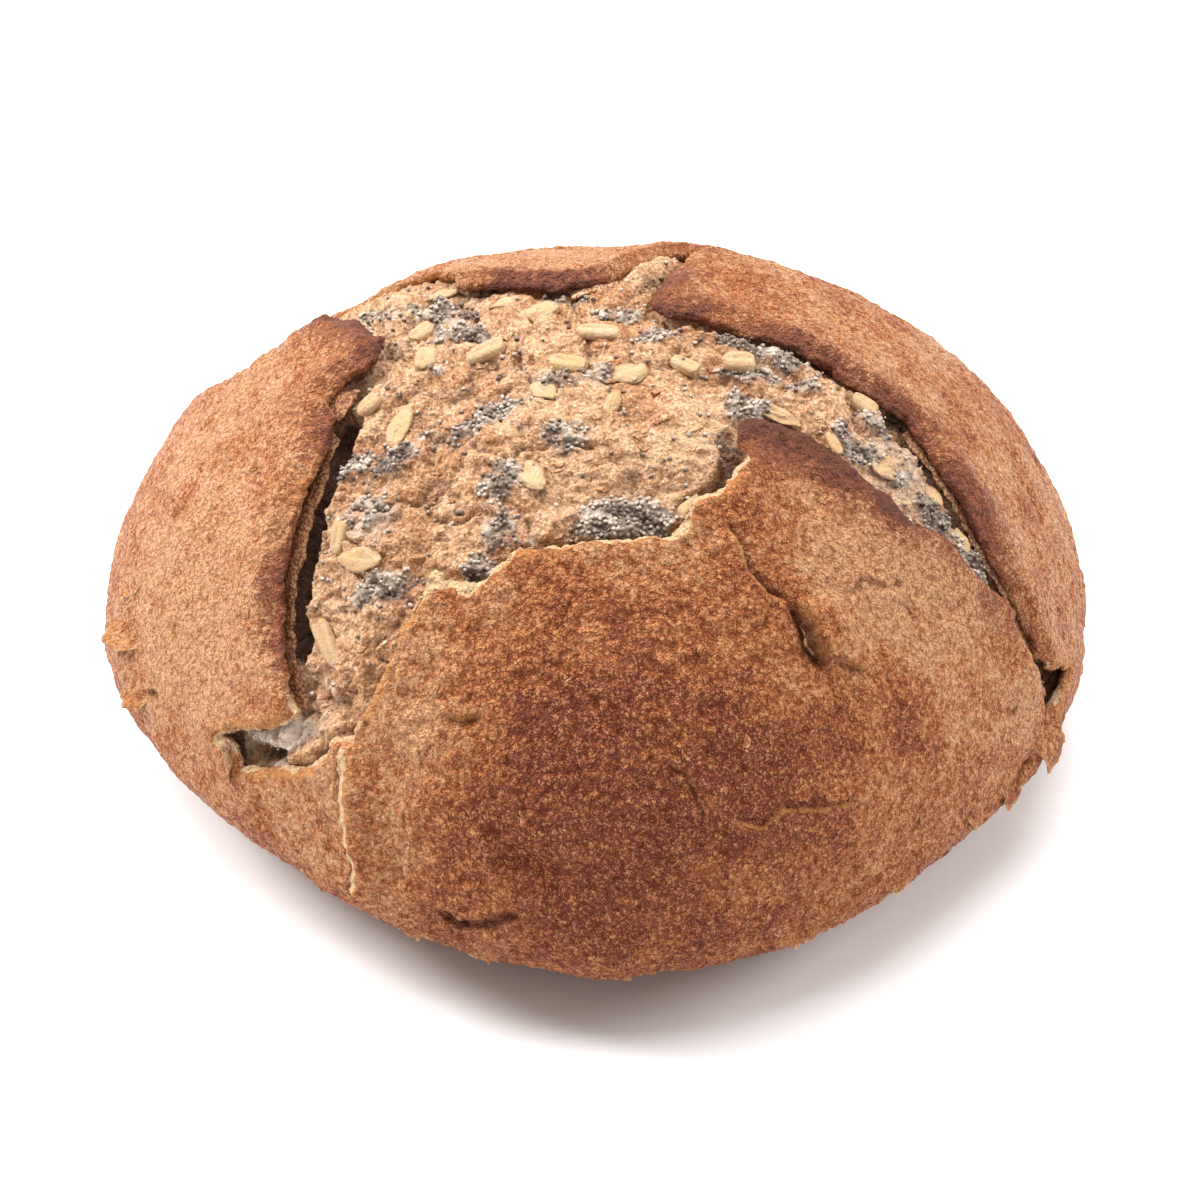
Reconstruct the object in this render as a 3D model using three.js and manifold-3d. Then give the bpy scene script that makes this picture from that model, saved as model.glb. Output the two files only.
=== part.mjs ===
// A round wrapped-crust sourdough bread: a soft inner dough and a thin baked
// crust around it that has torn open on top into five flaps.
// Millimetres, +Z up, +X to the right and -Y to the front of the bread.
// The origin is the middle of the flat spot that the bread rests on.

import * as THREE from 'three';
import { mergeVertices } from 'three/addons/utils/BufferGeometryUtils.js';
import Module from 'manifold-3d';

const wasm = await Module();
wasm.setup();

// ---- Driving dimensions -------------------------------------------------

// The body, seen from above: a mean radius and how far it strays from round.
const MEAN_RADIUS = 100;
const OVAL = 0.046;             // wider from left to right
const PEAR = 0.048;             // fuller at the left and right of the front
const PEAR_TURN = -0.014;       // turns that fullness a little
const SQUARENESS = 0.011;

// The body, seen from the side.
const WIDEST_HEIGHT = 26;       // height of the widest girth
const DOME_HEIGHT = 86;         // from the widest girth to the top
const FLAT_RADIUS = 56;         // the flat spot underneath
const DOME_FULLNESS = 1.9;      // 2 is an ellipse, less is more pointed
const BELLY_FULLNESS = 1.7;     // the same, below the widest girth

// The crust and the dough under it.
const CRUST_THICKNESS = 3;
const DOUGH_DEPTH = 3.4;        // how far the bare dough lies below the crust's face
const HOLE_DEPTH = 8;           // the same in the hole at the front left

// Fineness of the faces.
const SPHERE_DETAIL = 17;
const SNAP_DISTANCE = 1.4;      // grid points this close to a crust edge move onto it

// The crust's torn edges, going once round the opening. Each point is a
// distance to the right and to the back, measured along the skin of the bread
// from its top. lift: how far the edge stands up. reach: how wide a band of
// crust lifts with it. gap: how deep the crevice in the dough under it is.
const CRUST_EDGES = {
  leftFlap: {
    lift: 4.2, reach: 13, gap: 4.5,
    points: [[-70, 46], [-61, 30], [-52, 15], [-46, 7], [-44, 0], [-48, -7], [-57, -11], [-57, -17],
      [-62, -28], [-68, -36], [-72, -43], [-76, -52], [-79, -60], [-79.5, -70], [-78, -82]],
  },
  leftFlapFoot: {
    lift: 2.2, reach: 10, gap: 1,
    points: [[-80, -83], [-88, -80.5], [-98, -76], [-104, -75], [-110, -71.5], [-107, -76], [-105.5, -82]],
  },
  holeLip: {
    lift: 0.6, reach: 8, gap: 1,
    points: [[-100, -85], [-91, -90], [-85, -92.5], [-78, -94.5], [-70, -92.5], [-63, -93]],
  },
  frontFlap: {
    lift: 1.2, reach: 9, gap: 1.2,
    points: [[-57, -89], [-51, -83], [-45, -75], [-40, -70], [-39, -65], [-35, -67], [-27, -69],
      [-18, -63], [-10, -61.5], [0, -61], [10, -60], [16, -57]],
  },
  frontRightFlap: {
    lift: 1.8, reach: 10, gap: 2.4,
    points: [[20, -51], [25, -48.5], [28, -44], [31, -41], [29, -36], [30, -30.5], [37, -30], [44, -30],
      [50, -32.5], [57, -34.7], [65, -37], [71, -39.5], [80, -39.5], [90, -41.5], [99.5, -41.6]],
  },
  sideSlit: {
    lift: 0.8, reach: 8, gap: 3,
    points: [[103, -44], [112, -45.3], [121, -46], [127, -48], [131, -52], [134, -44], [136, -33], [135, -25],
      [128, -34], [122, -39.5]],
  },
  rightFlap: {
    lift: 3.2, reach: 13, gap: 3.6,
    points: [[117, -40.5], [109, -38.4], [101.5, -35.8], [91, -30.5], [86, -27.4], [80.5, -23], [75, -19],
      [70, -14.7], [65, -11.6], [54, -8.4], [42, -5.3], [30, -3.2], [20.5, -1.4], [13, 0], [10, 3.2],
      [11, 7.4], [15, 19], [20, 31]],
  },
  backFlap: {
    lift: 2.4, reach: 11, gap: 2.5,
    points: [[18, 36], [10, 27], [4, 20], [-3, 14], [-9, 11.5], [-16, 12.5], [-25, 16], [-34, 27], [-46, 40],
      [-58, 52]],
  },
};

// Dents, scars and folds: each one lifts or sinks an oval patch of the crust.
const CRUST_MARKS = [
  { name: 'thumb pit', at: [-18, -126], along: [0.85, -0.5], length: 11, width: 4.5, height: -3.2 },
  { name: 'pit brow', at: [-29, -123], along: [0.3, -0.95], length: 7, width: 2.6, height: 1.2 },
  { name: 'raised flake', at: [53, -72], along: [0.75, -0.65], length: 9, width: 5, height: 1.8 },
  { name: 'flake shadow', at: [49, -81], along: [0.75, -0.65], length: 9, width: 3, height: -1.2 },
  { name: 'front tear', at: [-66, -110], along: [0.1, 1], length: 14, width: 5, height: 1.5 },
  { name: 'tear foot', at: [-77, -112], along: [0.1, 1], length: 13, width: 4.5, height: -1 },
  { name: 'left rim tab', at: [-133, -28], along: [0.2, 1], length: 12, width: 4, height: 1.6 },
  { name: 'left rim fold', at: [-139, -44], along: [0.2, 1], length: 9, width: 4, height: -1.5 },
  { name: 'right rim tab', at: [133, -62], along: [0.3, 1], length: 12, width: 4, height: 1.4 },
  { name: 'front seam', at: [-44, -141], along: [0.95, -0.3], length: 14, width: 4, height: -2 },
  { name: 'chin', at: [0, -152], along: [1, 0.1], length: 14, width: 5, height: 1.6 },
  { name: 'right cheek fold', at: [62, -130], along: [0.8, 0.6], length: 18, width: 5, height: -1.8 },
  { name: 'back hollow', at: [30, 110], along: [0.9, 0.4], length: 26, width: 9, height: -2 },
];

// Lobes and creases of the bare dough.
const DOUGH_MARKS = [
  { name: 'left lobe', at: [-58, -74], along: [0.35, 0.95], length: 18, width: 9, height: 2 },
  { name: 'left crease', at: [-42, -56], along: [0.2, 1], length: 16, width: 3.4, height: -1.6 },
  { name: 'middle lobe', at: [-20, -32], along: [0.9, 0.2], length: 22, width: 10, height: 1.2 },
  { name: 'smooth swell', at: [14, -30], along: [0.4, -0.9], length: 14, width: 9, height: 1.4 },
  { name: 'swell crease', at: [4, -48], along: [0.95, 0.1], length: 16, width: 4, height: -1.4 },
  { name: 'back strand', at: [12, 24], along: [0.55, 0.8], length: 16, width: 3.5, height: 2.6 },
  { name: 'right strip', at: [58, -24], along: [0.85, -0.45], length: 30, width: 7, height: 1 },
  { name: 'top hollow', at: [-38, 12], along: [0.9, 0.3], length: 14, width: 6, height: -1.5 },
];

// ---- The body -----------------------------------------------------------

// The side profile as points at an even turn, each with the length of skin
// between it and the top of the bread.
function makeProfile(stepsPerQuarter) {
  const profile = [];
  const quarter = Math.PI / 2;
  for (let i = 0; i <= stepsPerQuarter; i++) {
    const turn = quarter * (1 - i / stepsPerQuarter);
    const out = Math.max(Math.cos(turn), 0) ** (2 / DOME_FULLNESS);
    const up = Math.sin(turn) ** (2 / DOME_FULLNESS);
    profile.push({ radius: MEAN_RADIUS * out, height: WIDEST_HEIGHT + DOME_HEIGHT * up });
  }
  for (let i = 1; i <= stepsPerQuarter; i++) {
    const turn = quarter * (i / stepsPerQuarter);
    const out = Math.max(Math.cos(turn), 0) ** (2 / BELLY_FULLNESS);
    const down = Math.sin(turn) ** (2 / BELLY_FULLNESS);
    profile.push({
      radius: FLAT_RADIUS + (MEAN_RADIUS - FLAT_RADIUS) * out,
      height: WIDEST_HEIGHT * (1 - down),
    });
  }
  profile.push({ radius: 0, height: 0 });
  let skin = 0;
  profile.forEach((point, i) => {
    if (i > 0) {
      const before = profile[i - 1];
      skin += Math.hypot(point.radius - before.radius, point.height - before.height);
    }
    point.skin = skin;
  });
  return profile;
}

const PROFILE = makeProfile(200);
const SKIN_TO_CENTRE = PROFILE[PROFILE.length - 1].skin;

// Radius and height of the profile, and its slopes, at a length of skin.
function profileAt(skin) {
  let low = 0;
  let high = PROFILE.length - 1;
  while (high - low > 1) {
    const middle = (low + high) >> 1;
    if (PROFILE[middle].skin <= skin) low = middle;
    else high = middle;
  }
  const a = PROFILE[low];
  const b = PROFILE[high];
  const length = b.skin - a.skin;
  const share = (skin - a.skin) / length;
  return {
    radius: a.radius + share * (b.radius - a.radius),
    height: a.height + share * (b.height - a.height),
    radiusSlope: (b.radius - a.radius) / length,
    heightSlope: (b.height - a.height) / length,
  };
}

function planFactor(angle) {
  return 1 + OVAL * Math.cos(2 * angle) + PEAR_TURN * Math.cos(3 * angle)
    + PEAR * Math.sin(3 * angle) + SQUARENESS * Math.cos(4 * angle);
}

function planSlope(angle) {
  return -2 * OVAL * Math.sin(2 * angle) - 3 * PEAR_TURN * Math.sin(3 * angle)
    + 3 * PEAR * Math.cos(3 * angle) - 4 * SQUARENESS * Math.sin(4 * angle);
}

// A point of the bread's skin, moved out along its normal by a height.
function skinPoint([u, v], height) {
  const angle = Math.atan2(v, u);
  const { radius, height: z, radiusSlope, heightSlope } = profileAt(Math.hypot(u, v));
  const factor = planFactor(angle);
  const cos = Math.cos(angle);
  const sin = Math.sin(angle);
  const place = new THREE.Vector3(radius * factor * cos, radius * factor * sin, z);
  const normal = new THREE.Vector3(0, 0, 1);
  if (radius > 0.5) {
    const down = new THREE.Vector3(radiusSlope * factor * cos, radiusSlope * factor * sin, heightSlope);
    const slope = planSlope(angle);
    const around = new THREE.Vector3(slope * cos - factor * sin, slope * sin + factor * cos, 0);
    normal.crossVectors(down, around).normalize();
  } else if (z < 1) {
    normal.set(0, 0, -1);
  }
  return place.addScaledVector(normal, height);
}

// ---- The crust's edges and the relief -----------------------------------

const EDGE_LIST = Object.values(CRUST_EDGES);
const OPENING = EDGE_LIST.flatMap((edge) => edge.points);

function nearestOnLine([u, v], points, closed) {
  let best = { distance: Infinity, at: [u, v] };
  const last = closed ? points.length : points.length - 1;
  for (let i = 0; i < last; i++) {
    const [au, av] = points[i];
    const [bu, bv] = points[(i + 1) % points.length];
    const du = bu - au;
    const dv = bv - av;
    const share = THREE.MathUtils.clamp(((u - au) * du + (v - av) * dv) / (du * du + dv * dv), 0, 1);
    const at = [au + share * du, av + share * dv];
    const distance = Math.hypot(u - at[0], v - at[1]);
    if (distance < best.distance) best = { distance, at };
  }
  return best;
}

function isInside([u, v], points) {
  let inside = false;
  points.forEach(([au, av], i) => {
    const [bu, bv] = points[(i + 1) % points.length];
    if ((av > v) !== (bv > v) && u < au + ((v - av) / (bv - av)) * (bu - au)) inside = !inside;
  });
  return inside;
}

// Distance along the skin to the edge of the crust, negative over the bare dough.
function crustDistance(sheet) {
  const { distance } = nearestOnLine(sheet, OPENING, true);
  return isInside(sheet, OPENING) ? -distance : distance;
}

function bell(distance, reach) {
  return Math.exp(-((distance / reach) ** 2));
}

function markHeight([u, v], marks) {
  let height = 0;
  for (const mark of marks) {
    const scale = Math.hypot(...mark.along);
    const du = u - mark.at[0];
    const dv = v - mark.at[1];
    const along = (du * mark.along[0] + dv * mark.along[1]) / scale;
    const across = (dv * mark.along[0] - du * mark.along[1]) / scale;
    height += mark.height * bell(along, mark.length) * bell(across, mark.width);
  }
  return height;
}

// Soft lumps: a few crossing waves of unlike lengths.
function lumps([u, v], wavelength) {
  const w = (2 * Math.PI) / wavelength;
  return (Math.sin(w * (u + 0.4 * v)) + Math.sin(w * 1.31 * (v - 0.3 * u) + 1.7)
    + Math.sin(w * 0.77 * (u - v) + 0.6) + Math.sin(w * 1.73 * (u + v) + 2.9)) / 4;
}

// Relief fades out where the bread curls under, so that the flat spot stays flat.
function fadeUnder(sheet) {
  const skin = Math.hypot(...sheet);
  const flatFrom = SKIN_TO_CENTRE - FLAT_RADIUS;
  return THREE.MathUtils.clamp((flatFrom - 4 - skin) / 25, 0, 1);
}

function crustHeight(sheet) {
  let lift = 0;
  for (const edge of EDGE_LIST) {
    const { distance } = nearestOnLine(sheet, edge.points, false);
    lift = Math.max(lift, edge.lift * bell(distance, edge.reach));
  }
  return (lift + markHeight(sheet, CRUST_MARKS) + 0.5 * lumps(sheet, 34)) * fadeUnder(sheet);
}

function doughHeight(sheet) {
  const outside = crustDistance(sheet);
  let gap = 0;
  for (const edge of EDGE_LIST) {
    const { distance } = nearestOnLine(sheet, edge.points, false);
    const reach = outside > 0 ? 4.5 : 5.5;
    gap = Math.max(gap, edge.gap * bell(distance, reach));
  }
  const inHole = bell(nearestOnLine(sheet, [[-100, -80], [-84, -86], [-74, -86]], false).distance, 8);
  const bare = -DOUGH_DEPTH - (HOLE_DEPTH - DOUGH_DEPTH) * inHole
    + markHeight(sheet, DOUGH_MARKS) + 0.9 * lumps(sheet, 17);
  const covered = -CRUST_THICKNESS / 2 + crustHeight(sheet);
  const share = THREE.MathUtils.smoothstep(outside, 1, 9);
  return THREE.MathUtils.lerp(bare - gap, covered, share);
}

// ---- Closed meshes ------------------------------------------------------

// An even grid of points over the whole bread, each with its place on the skin.
function makeGrid(detail) {
  const sphere = new THREE.IcosahedronGeometry(1, detail);
  sphere.deleteAttribute('normal');
  sphere.deleteAttribute('uv');
  const merged = mergeVertices(sphere, 1e-4);
  const place = merged.getAttribute('position');
  const sheets = [];
  for (let i = 0; i < place.count; i++) {
    const x = place.getX(i);
    const y = place.getY(i);
    const skin = (SKIN_TO_CENTRE * Math.acos(THREE.MathUtils.clamp(place.getZ(i), -1, 1))) / Math.PI;
    const angle = Math.atan2(y, x);
    sheets.push([skin * Math.cos(angle), skin * Math.sin(angle)]);
  }
  const index = Array.from(merged.getIndex().array);
  const faces = [];
  for (let i = 0; i < index.length; i += 3) faces.push(index.slice(i, i + 3));
  return { sheets, faces };
}

// Keeps the part of the grid that the crust covers, cut along the crust's edge.
function cutOpening({ sheets, faces }) {
  const points = sheets.map((sheet) => {
    const near = nearestOnLine(sheet, OPENING, true);
    if (near.distance < SNAP_DISTANCE) return { sheet: near.at, out: 0 };
    return { sheet, out: isInside(sheet, OPENING) ? -near.distance : near.distance };
  });
  const crossings = new Map();
  function crossing(a, b) {
    const key = a < b ? `${a}_${b}` : `${b}_${a}`;
    if (!crossings.has(key)) {
      const from = points[a];
      const to = points[b];
      const share = from.out / (from.out - to.out);
      const sheet = from.sheet.map((value, i) => value + share * (to.sheet[i] - value));
      crossings.set(key, points.push({ sheet, out: 0 }) - 1);
    }
    return crossings.get(key);
  }
  const kept = [];
  for (const face of faces) {
    const outline = [];
    for (let i = 0; i < 3; i++) {
      const a = face[i];
      const b = face[(i + 1) % 3];
      if (points[a].out >= 0) outline.push(a);
      if (points[a].out * points[b].out < 0) outline.push(crossing(a, b));
    }
    if (!outline.some((corner) => points[corner].out > 0)) continue;
    for (let i = 1; i + 1 < outline.length; i++) kept.push([outline[0], outline[i], outline[i + 1]]);
  }
  return { sheets: points.map((point) => point.sheet), faces: kept };
}

function toSolid(points, faces) {
  const geometry = new THREE.BufferGeometry();
  const flat = faces.flat().flatMap((corner) => points[corner].toArray());
  geometry.setAttribute('position', new THREE.Float32BufferAttribute(flat, 3));
  const merged = mergeVertices(geometry, 1e-4);
  return new wasm.Manifold(new wasm.Mesh({
    numProp: 3,
    vertProperties: merged.getAttribute('position').array,
    triVerts: new Uint32Array(merged.getIndex().array),
  }));
}

function makeDough(grid) {
  return toSolid(grid.sheets.map((sheet) => skinPoint(sheet, doughHeight(sheet))), grid.faces);
}

// The crust: an outer and an inner face, joined by a wall along every torn edge.
function makeCrust(grid) {
  const { sheets, faces } = cutOpening(grid);
  const count = sheets.length;
  const heights = sheets.map(crustHeight);
  const outer = sheets.map((sheet, i) => skinPoint(sheet, heights[i]));
  const inner = sheets.map((sheet, i) => skinPoint(sheet, heights[i] - CRUST_THICKNESS));
  const all = faces.map((face) => [...face]);
  const sides = new Set();
  for (const [a, b, c] of faces) {
    all.push([c + count, b + count, a + count]);
    for (const side of [[a, b], [b, c], [c, a]]) sides.add(side.join('_'));
  }
  for (const side of sides) {
    const [a, b] = side.split('_').map(Number);
    if (sides.has(`${b}_${a}`)) continue;
    all.push([b, a, a + count], [b, a + count, b + count]);
  }
  return toSolid([...outer, ...inner], all);
}

// ---- The bread ----------------------------------------------------------

function makeLoaf() {
  const grid = makeGrid(SPHERE_DETAIL);
  const loaf = makeCrust(grid).add(makeDough(grid));
  const { vertProperties, triVerts } = loaf.getMesh();
  const geometry = new THREE.BufferGeometry();
  geometry.setAttribute('position', new THREE.Float32BufferAttribute(vertProperties, 3));
  geometry.setIndex(new THREE.BufferAttribute(triVerts, 1));
  geometry.computeVertexNormals();
  const material = new THREE.MeshStandardMaterial({ color: 0xa9693f, roughness: 0.8, metalness: 0 });
  const mesh = new THREE.Mesh(geometry, material);
  mesh.name = 'loaf';
  return mesh;
}

const bread = new THREE.Group();
bread.add(makeLoaf());

export default bread;
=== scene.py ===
"""A round wrapped-crust sourdough bread on a pale floor.

A soft, floury, seeded dough shows where its thin baked crust has torn open on
top. The bread is drawn on its own skin: a place is how far right (u) and back
(v) it lies from the top of the dome, measured along the skin in millimetres,
and a height is how far it stands out from the bare form. Meshes are in metres.
"""

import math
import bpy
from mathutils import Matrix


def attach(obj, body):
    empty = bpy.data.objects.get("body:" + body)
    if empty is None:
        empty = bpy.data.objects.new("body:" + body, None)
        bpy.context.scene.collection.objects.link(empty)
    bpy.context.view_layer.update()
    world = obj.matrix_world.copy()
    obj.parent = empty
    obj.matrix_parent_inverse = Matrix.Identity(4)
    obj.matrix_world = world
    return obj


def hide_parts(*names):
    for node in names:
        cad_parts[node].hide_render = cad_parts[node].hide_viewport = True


bl_info = {
    "name": "Sourdough Bread",
    "version": (1, 0, 0),
    "blender": (4, 5, 0),
    "location": "3D View > Sidebar > Bread",
    "description": "Builds a round sourdough bread with a torn crust and a seeded dough",
    "category": "Add Mesh",
}

from typing import NamedTuple

import bpy
import numpy as np
from bpy.props import FloatProperty, FloatVectorProperty, IntProperty, PointerProperty
from mathutils import Vector
from mathutils.geometry import delaunay_2d_cdt

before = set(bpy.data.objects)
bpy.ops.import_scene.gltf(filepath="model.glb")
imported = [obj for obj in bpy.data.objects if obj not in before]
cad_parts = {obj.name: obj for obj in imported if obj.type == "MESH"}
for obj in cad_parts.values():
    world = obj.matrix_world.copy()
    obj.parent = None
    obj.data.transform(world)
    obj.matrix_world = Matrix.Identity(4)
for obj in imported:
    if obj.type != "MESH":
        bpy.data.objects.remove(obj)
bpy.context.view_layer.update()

MM = 0.001

# The studio, in metres and watts. Lamps: place, width and power.
LAMPS = {
    "top": ((-0.10, 0.30, 1.35), 1.7, 32.0),
    "key": ((-1.10, 0.25, 0.95), 0.6, 20.0),
    "side": ((1.20, 0.10, 0.70), 0.6, 10.0),
}
LAMP_TARGET = (0, 0, 0.05)
SKY_STRENGTH = 0.5
FLOOR_HALF = 3.0
FLOOR_WHITE = 0.96
CAMERA_TARGET = (-0.0005, 0, 0.038)
CAMERA_DISTANCE = 0.85
CAMERA_LEAN = 36            # degrees down from level
CAMERA_LENS = 118.6         # millimetres, on a sensor 36 mm wide

# ---- The crust's torn edges and the marks on it --------------------------


class Edge(NamedTuple):
    """One stretch of the opening's torn edge."""

    points: list
    lift: float                 # how far it stands up
    reach: float                # how wide a band lifts with it
    drop: float                 # how far it curls down
    roll: float                 # over what width it curls
    ragged: float               # how unevenly it tore
    gap: float                  # depth of the crevice beside it
    gap_width: float = 3.0
    dark: float = 0.0           # how deeply it is toasted
    dark_width: float = 3.0     # over what width it is toasted


class Tear(NamedTuple):
    """A tear or crack in the crust, along a line whose left side is the higher one."""

    points: list
    step: float                 # how much higher that side is
    reach: float                # how far that height fades away
    groove: float               # depth of the crack at its foot
    width: float                # width of the crack
    ragged: float               # how unevenly it tore
    pale: float = 0.0           # width of a bared band along the high side
    amber: float = 0.0          # width of a scorched band along the high side


# Going once round the opening.
CRUST_EDGES = {
    "left_flap_back": Edge(
        [(-94, 38), (-90, 31), (-82, 25), (-73, 21.5), (-65, 20), (-58, 19)],
        lift=1.2, reach=10, drop=1.2, roll=2.5, ragged=0.9, gap=1.0, dark=0.5, dark_width=5.0),
    "left_flap_corner": Edge(
        [(-54, 16.5), (-49, 11), (-45, 5), (-43.5, 0), (-48, -7), (-57, -11)],
        lift=4.2, reach=12, drop=2.2, roll=3.5, ragged=1.1, gap=2.2, dark=0.9, dark_width=9.0),
    "left_flap": Edge(
        [(-57, -17), (-62, -28), (-68, -36), (-72, -43), (-76, -52), (-79, -60), (-79.5, -66)],
        lift=4.4, reach=13, drop=3.0, roll=4.5, ragged=0.6, gap=8.5, gap_width=5.5, dark=0.72,
        dark_width=6.5),
    "left_flap_heel": Edge(
        [(-79.5, -70), (-79, -76), (-78, -82)],
        lift=3.6, reach=12, drop=1.6, roll=3.0, ragged=0.7, gap=2.6, gap_width=4.0, dark=0.5,
        dark_width=4.0),
    "left_flap_foot": Edge(
        [(-80, -83), (-88, -80.5), (-96, -76.5), (-101, -75), (-106, -72.5), (-103.5, -77), (-102, -83)],
        lift=2.2, reach=10, drop=0.8, roll=1.5, ragged=1.1, gap=0.6),
    "hole_lip": Edge(
        [(-98.5, -86), (-91, -90), (-85, -92.5), (-78, -94.5), (-70, -92.5), (-63, -93)],
        lift=0.6, reach=8, drop=0.8, roll=2.0, ragged=1.0, gap=1.5),
    "front_flap_side": Edge(
        [(-57, -89), (-51, -83), (-45, -75), (-40, -70)],
        lift=1.6, reach=9, drop=0.5, roll=1.2, ragged=0.5, gap=2.6, gap_width=2.2),
    "front_flap": Edge(
        [(-39, -65), (-35, -67), (-27, -69), (-18, -63), (-10, -61.5), (0, -61), (10, -60), (16, -57)],
        lift=1.2, reach=9, drop=0.4, roll=1.0, ragged=1.5, gap=1.8),
    "front_right_side": Edge(
        [(20, -51), (25, -48.5), (28, -44), (31, -41), (29, -36)],
        lift=2.2, reach=10, drop=0.6, roll=1.5, ragged=1.2, gap=4.2, gap_width=5.0),
    "front_right_flap": Edge(
        [(30, -30.5), (37, -30), (44, -30), (50, -32.5), (57, -34.7), (65, -37), (71, -39.5), (80, -39.5),
         (90, -41.5), (99.5, -41.6)],
        lift=1.8, reach=10, drop=0.9, roll=2.0, ragged=0.9, gap=1.2, dark=1.25, dark_width=13.0),
    "side_slit": Edge(
        [(103, -44), (112, -45.3), (121, -46), (127, -48), (131, -52), (134, -44), (136, -33), (135, -25),
         (128, -34), (122, -39.5)],
        lift=0.9, reach=8, drop=0.8, roll=2.0, ragged=1.1, gap=4.0, gap_width=5.0),
    "right_flap": Edge(
        [(117, -40.5), (109, -38.4), (101.5, -35.8), (91, -30.5), (86, -27.4), (80.5, -23), (75, -19),
         (70, -14.7), (65, -11.6), (54, -8.4), (42, -5.3), (30, -3.2), (20.5, -1.4), (13, 0), (10, 3.2),
         (11, 7.4), (15, 19), (20, 31)],
        lift=2.8, reach=13, drop=2.4, roll=3.5, ragged=0.7, gap=1.6, gap_width=2.4, dark=0.8,
        dark_width=8.0),
    "back_flap": Edge(
        [(18, 36), (10, 27), (4, 20), (-3, 14), (-9, 11.5), (-16, 12.5), (-23, 14.5), (-29, 18)],
        lift=2.2, reach=11, drop=2.0, roll=3.0, ragged=0.9, gap=0.8, dark=0.9, dark_width=7.0),
    "back_left": Edge(
        [(-34, 29), (-38, 44), (-47, 57), (-60, 63), (-73, 61), (-84, 54), (-92, 45)],
        lift=0.3, reach=8, drop=0.8, roll=2.0, ragged=1.1, gap=1.2, dark=0.3, dark_width=4.0),
}

OPENING = [point for edge in CRUST_EDGES.values() for point in edge.points]

TEARS = {
    "front_left_tear": Tear(
        [(-66.5, -93), (-68, -98), (-68.6, -103), (-70, -109), (-71.5, -113), (-72, -119.5), (-77, -125)],
        step=2.3, reach=8, groove=0.9, width=1.0, pale=3.4, amber=5.0, ragged=1.3),
    "front_corner": Tear(
        [(41.5, -69.2), (38, -68.8), (35.6, -68.3), (31.4, -64.7), (29, -60.8), (25, -55.5)],
        step=1.3, reach=8, groove=0.9, width=0.8, amber=1.6, ragged=0.8),
    "flake_edge": Tear(
        [(42.4, -68), (44, -71.1), (46.4, -73.6), (48.5, -76.6), (52.8, -79.6)],
        step=2.0, reach=10, groove=2.6, width=1.25, amber=1.3, ragged=0.5),
    "flake_foot": Tear(
        [(53.5, -78.6), (56.4, -77.7), (60.1, -78.2), (64, -77.8)],
        step=1.1, reach=6, groove=0.5, width=0.8, amber=0.8, ragged=0.6),
    "corner_scar": Tear(
        [(34.5, -77), (34.8, -73), (36.5, -69.5)],
        step=0.5, reach=4, groove=0.4, width=0.7, amber=0.6, ragged=0.6),
    "cheek_flake": Tear(
        [(66, -104), (60, -107.4), (55.8, -108.4), (49.5, -110), (44, -110.5), (40, -115), (30, -114)],
        step=0.9, reach=9, groove=0.45, width=0.8, amber=0.7, ragged=0.9),
    "side_crack": Tear(
        [(54.4, -63.5), (57.3, -62.7), (58.5, -59.1), (63.4, -58.5), (68.4, -57.1)],
        step=0.4, reach=5, groove=0.5, width=0.5, ragged=0.8),
    "cheek_crack": Tear(
        [(76, -64), (73, -60), (69, -60)],
        step=0.4, reach=6, groove=0.7, width=0.7, ragged=1.0),
    "front_scar": Tear(
        [(-40, -92), (-37, -94), (-33, -95.5), (-27, -94.5)],
        step=0.6, reach=5, groove=0.6, width=0.8, amber=0.5, ragged=0.7),
    "low_scar": Tear(
        [(14, -103), (20, -106), (24, -112), (26, -118)],
        step=0.5, reach=5, groove=0.5, width=0.8, amber=0.4, ragged=1.0),
    "chin_fold": Tear(
        [(-22, -137), (-34, -139), (-42, -139.5), (-48, -134)],
        step=1.0, reach=8, groove=1.3, width=1.2, ragged=1.0),
    "left_scar": Tear(
        [(-124, -47), (-127, -43.5), (-130, -41.5)],
        step=0.6, reach=6, groove=1.2, width=0.8, amber=0.6, ragged=0.8),
    "left_rim_crack": Tear(
        [(-128, -22), (-133, -27), (-136, -34), (-135, -42)],
        step=0.9, reach=7, groove=1.4, width=0.9, pale=0.4, amber=1.0, ragged=1.2),
    "right_rim_crack": Tear(
        [(126, -88), (129, -76), (127, -66), (130, -58)],
        step=0.8, reach=7, groove=1.2, width=0.9, pale=0.4, amber=1.0, ragged=1.2),
    "back_crack": Tear(
        [(-30, 96), (-14, 104), (6, 101), (24, 108)],
        step=0.8, reach=8, groove=1.2, width=0.9, pale=0.3, amber=0.8, ragged=1.2),
}

# How the skin's tone strays over the bread: place, reach, and how much darker or
# lighter it is there. This is partly how it baked and partly painted shade: the
# darker front and lower front stand in for the shade that falls there.
TONES_AND_SHADE = [((-4, -102), 35, 0.56), ((0, -138), 34, 0.3), ((-38, -122), 20, 0.14), ((-48, -92), 15, -0.58),
         ((-82, -103), 14, -0.34), ((-95, -42), 36, -0.3), ((-72, -8), 18, -0.14), ((64, -56), 18, -0.74),
         ((74, -88), 18, 0.24), ((106, -62), 18, -0.06), ((-14, 24), 20, -0.46), ((-116, -26), 22, -0.16),
         ((60, 20), 40, -0.06), ((30, -52), 9, 0.3), ((34, -72), 9, 0.22), ((24, -69), 8, 0.2),
         ((38, -106), 20, 0.62), ((-12, -72), 14, -0.1), ((-100, -112), 24, 0.12)]

# Where the toasted edges are darkest: place and reach.
TOASTED = [((-48, 4), 12), ((-57, 18), 9), ((-60, -20), 8), ((-72, -50), 8), ((-77, -68), 8), ((14, 4), 14),
           ((40, -4), 13), ((62, -9), 12), ((84, -25), 12), ((-8, 12), 8), ((-18, 14), 7), ((34, -31), 14),
           ((48, -33), 11), ((66, -37), 7)]

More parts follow.
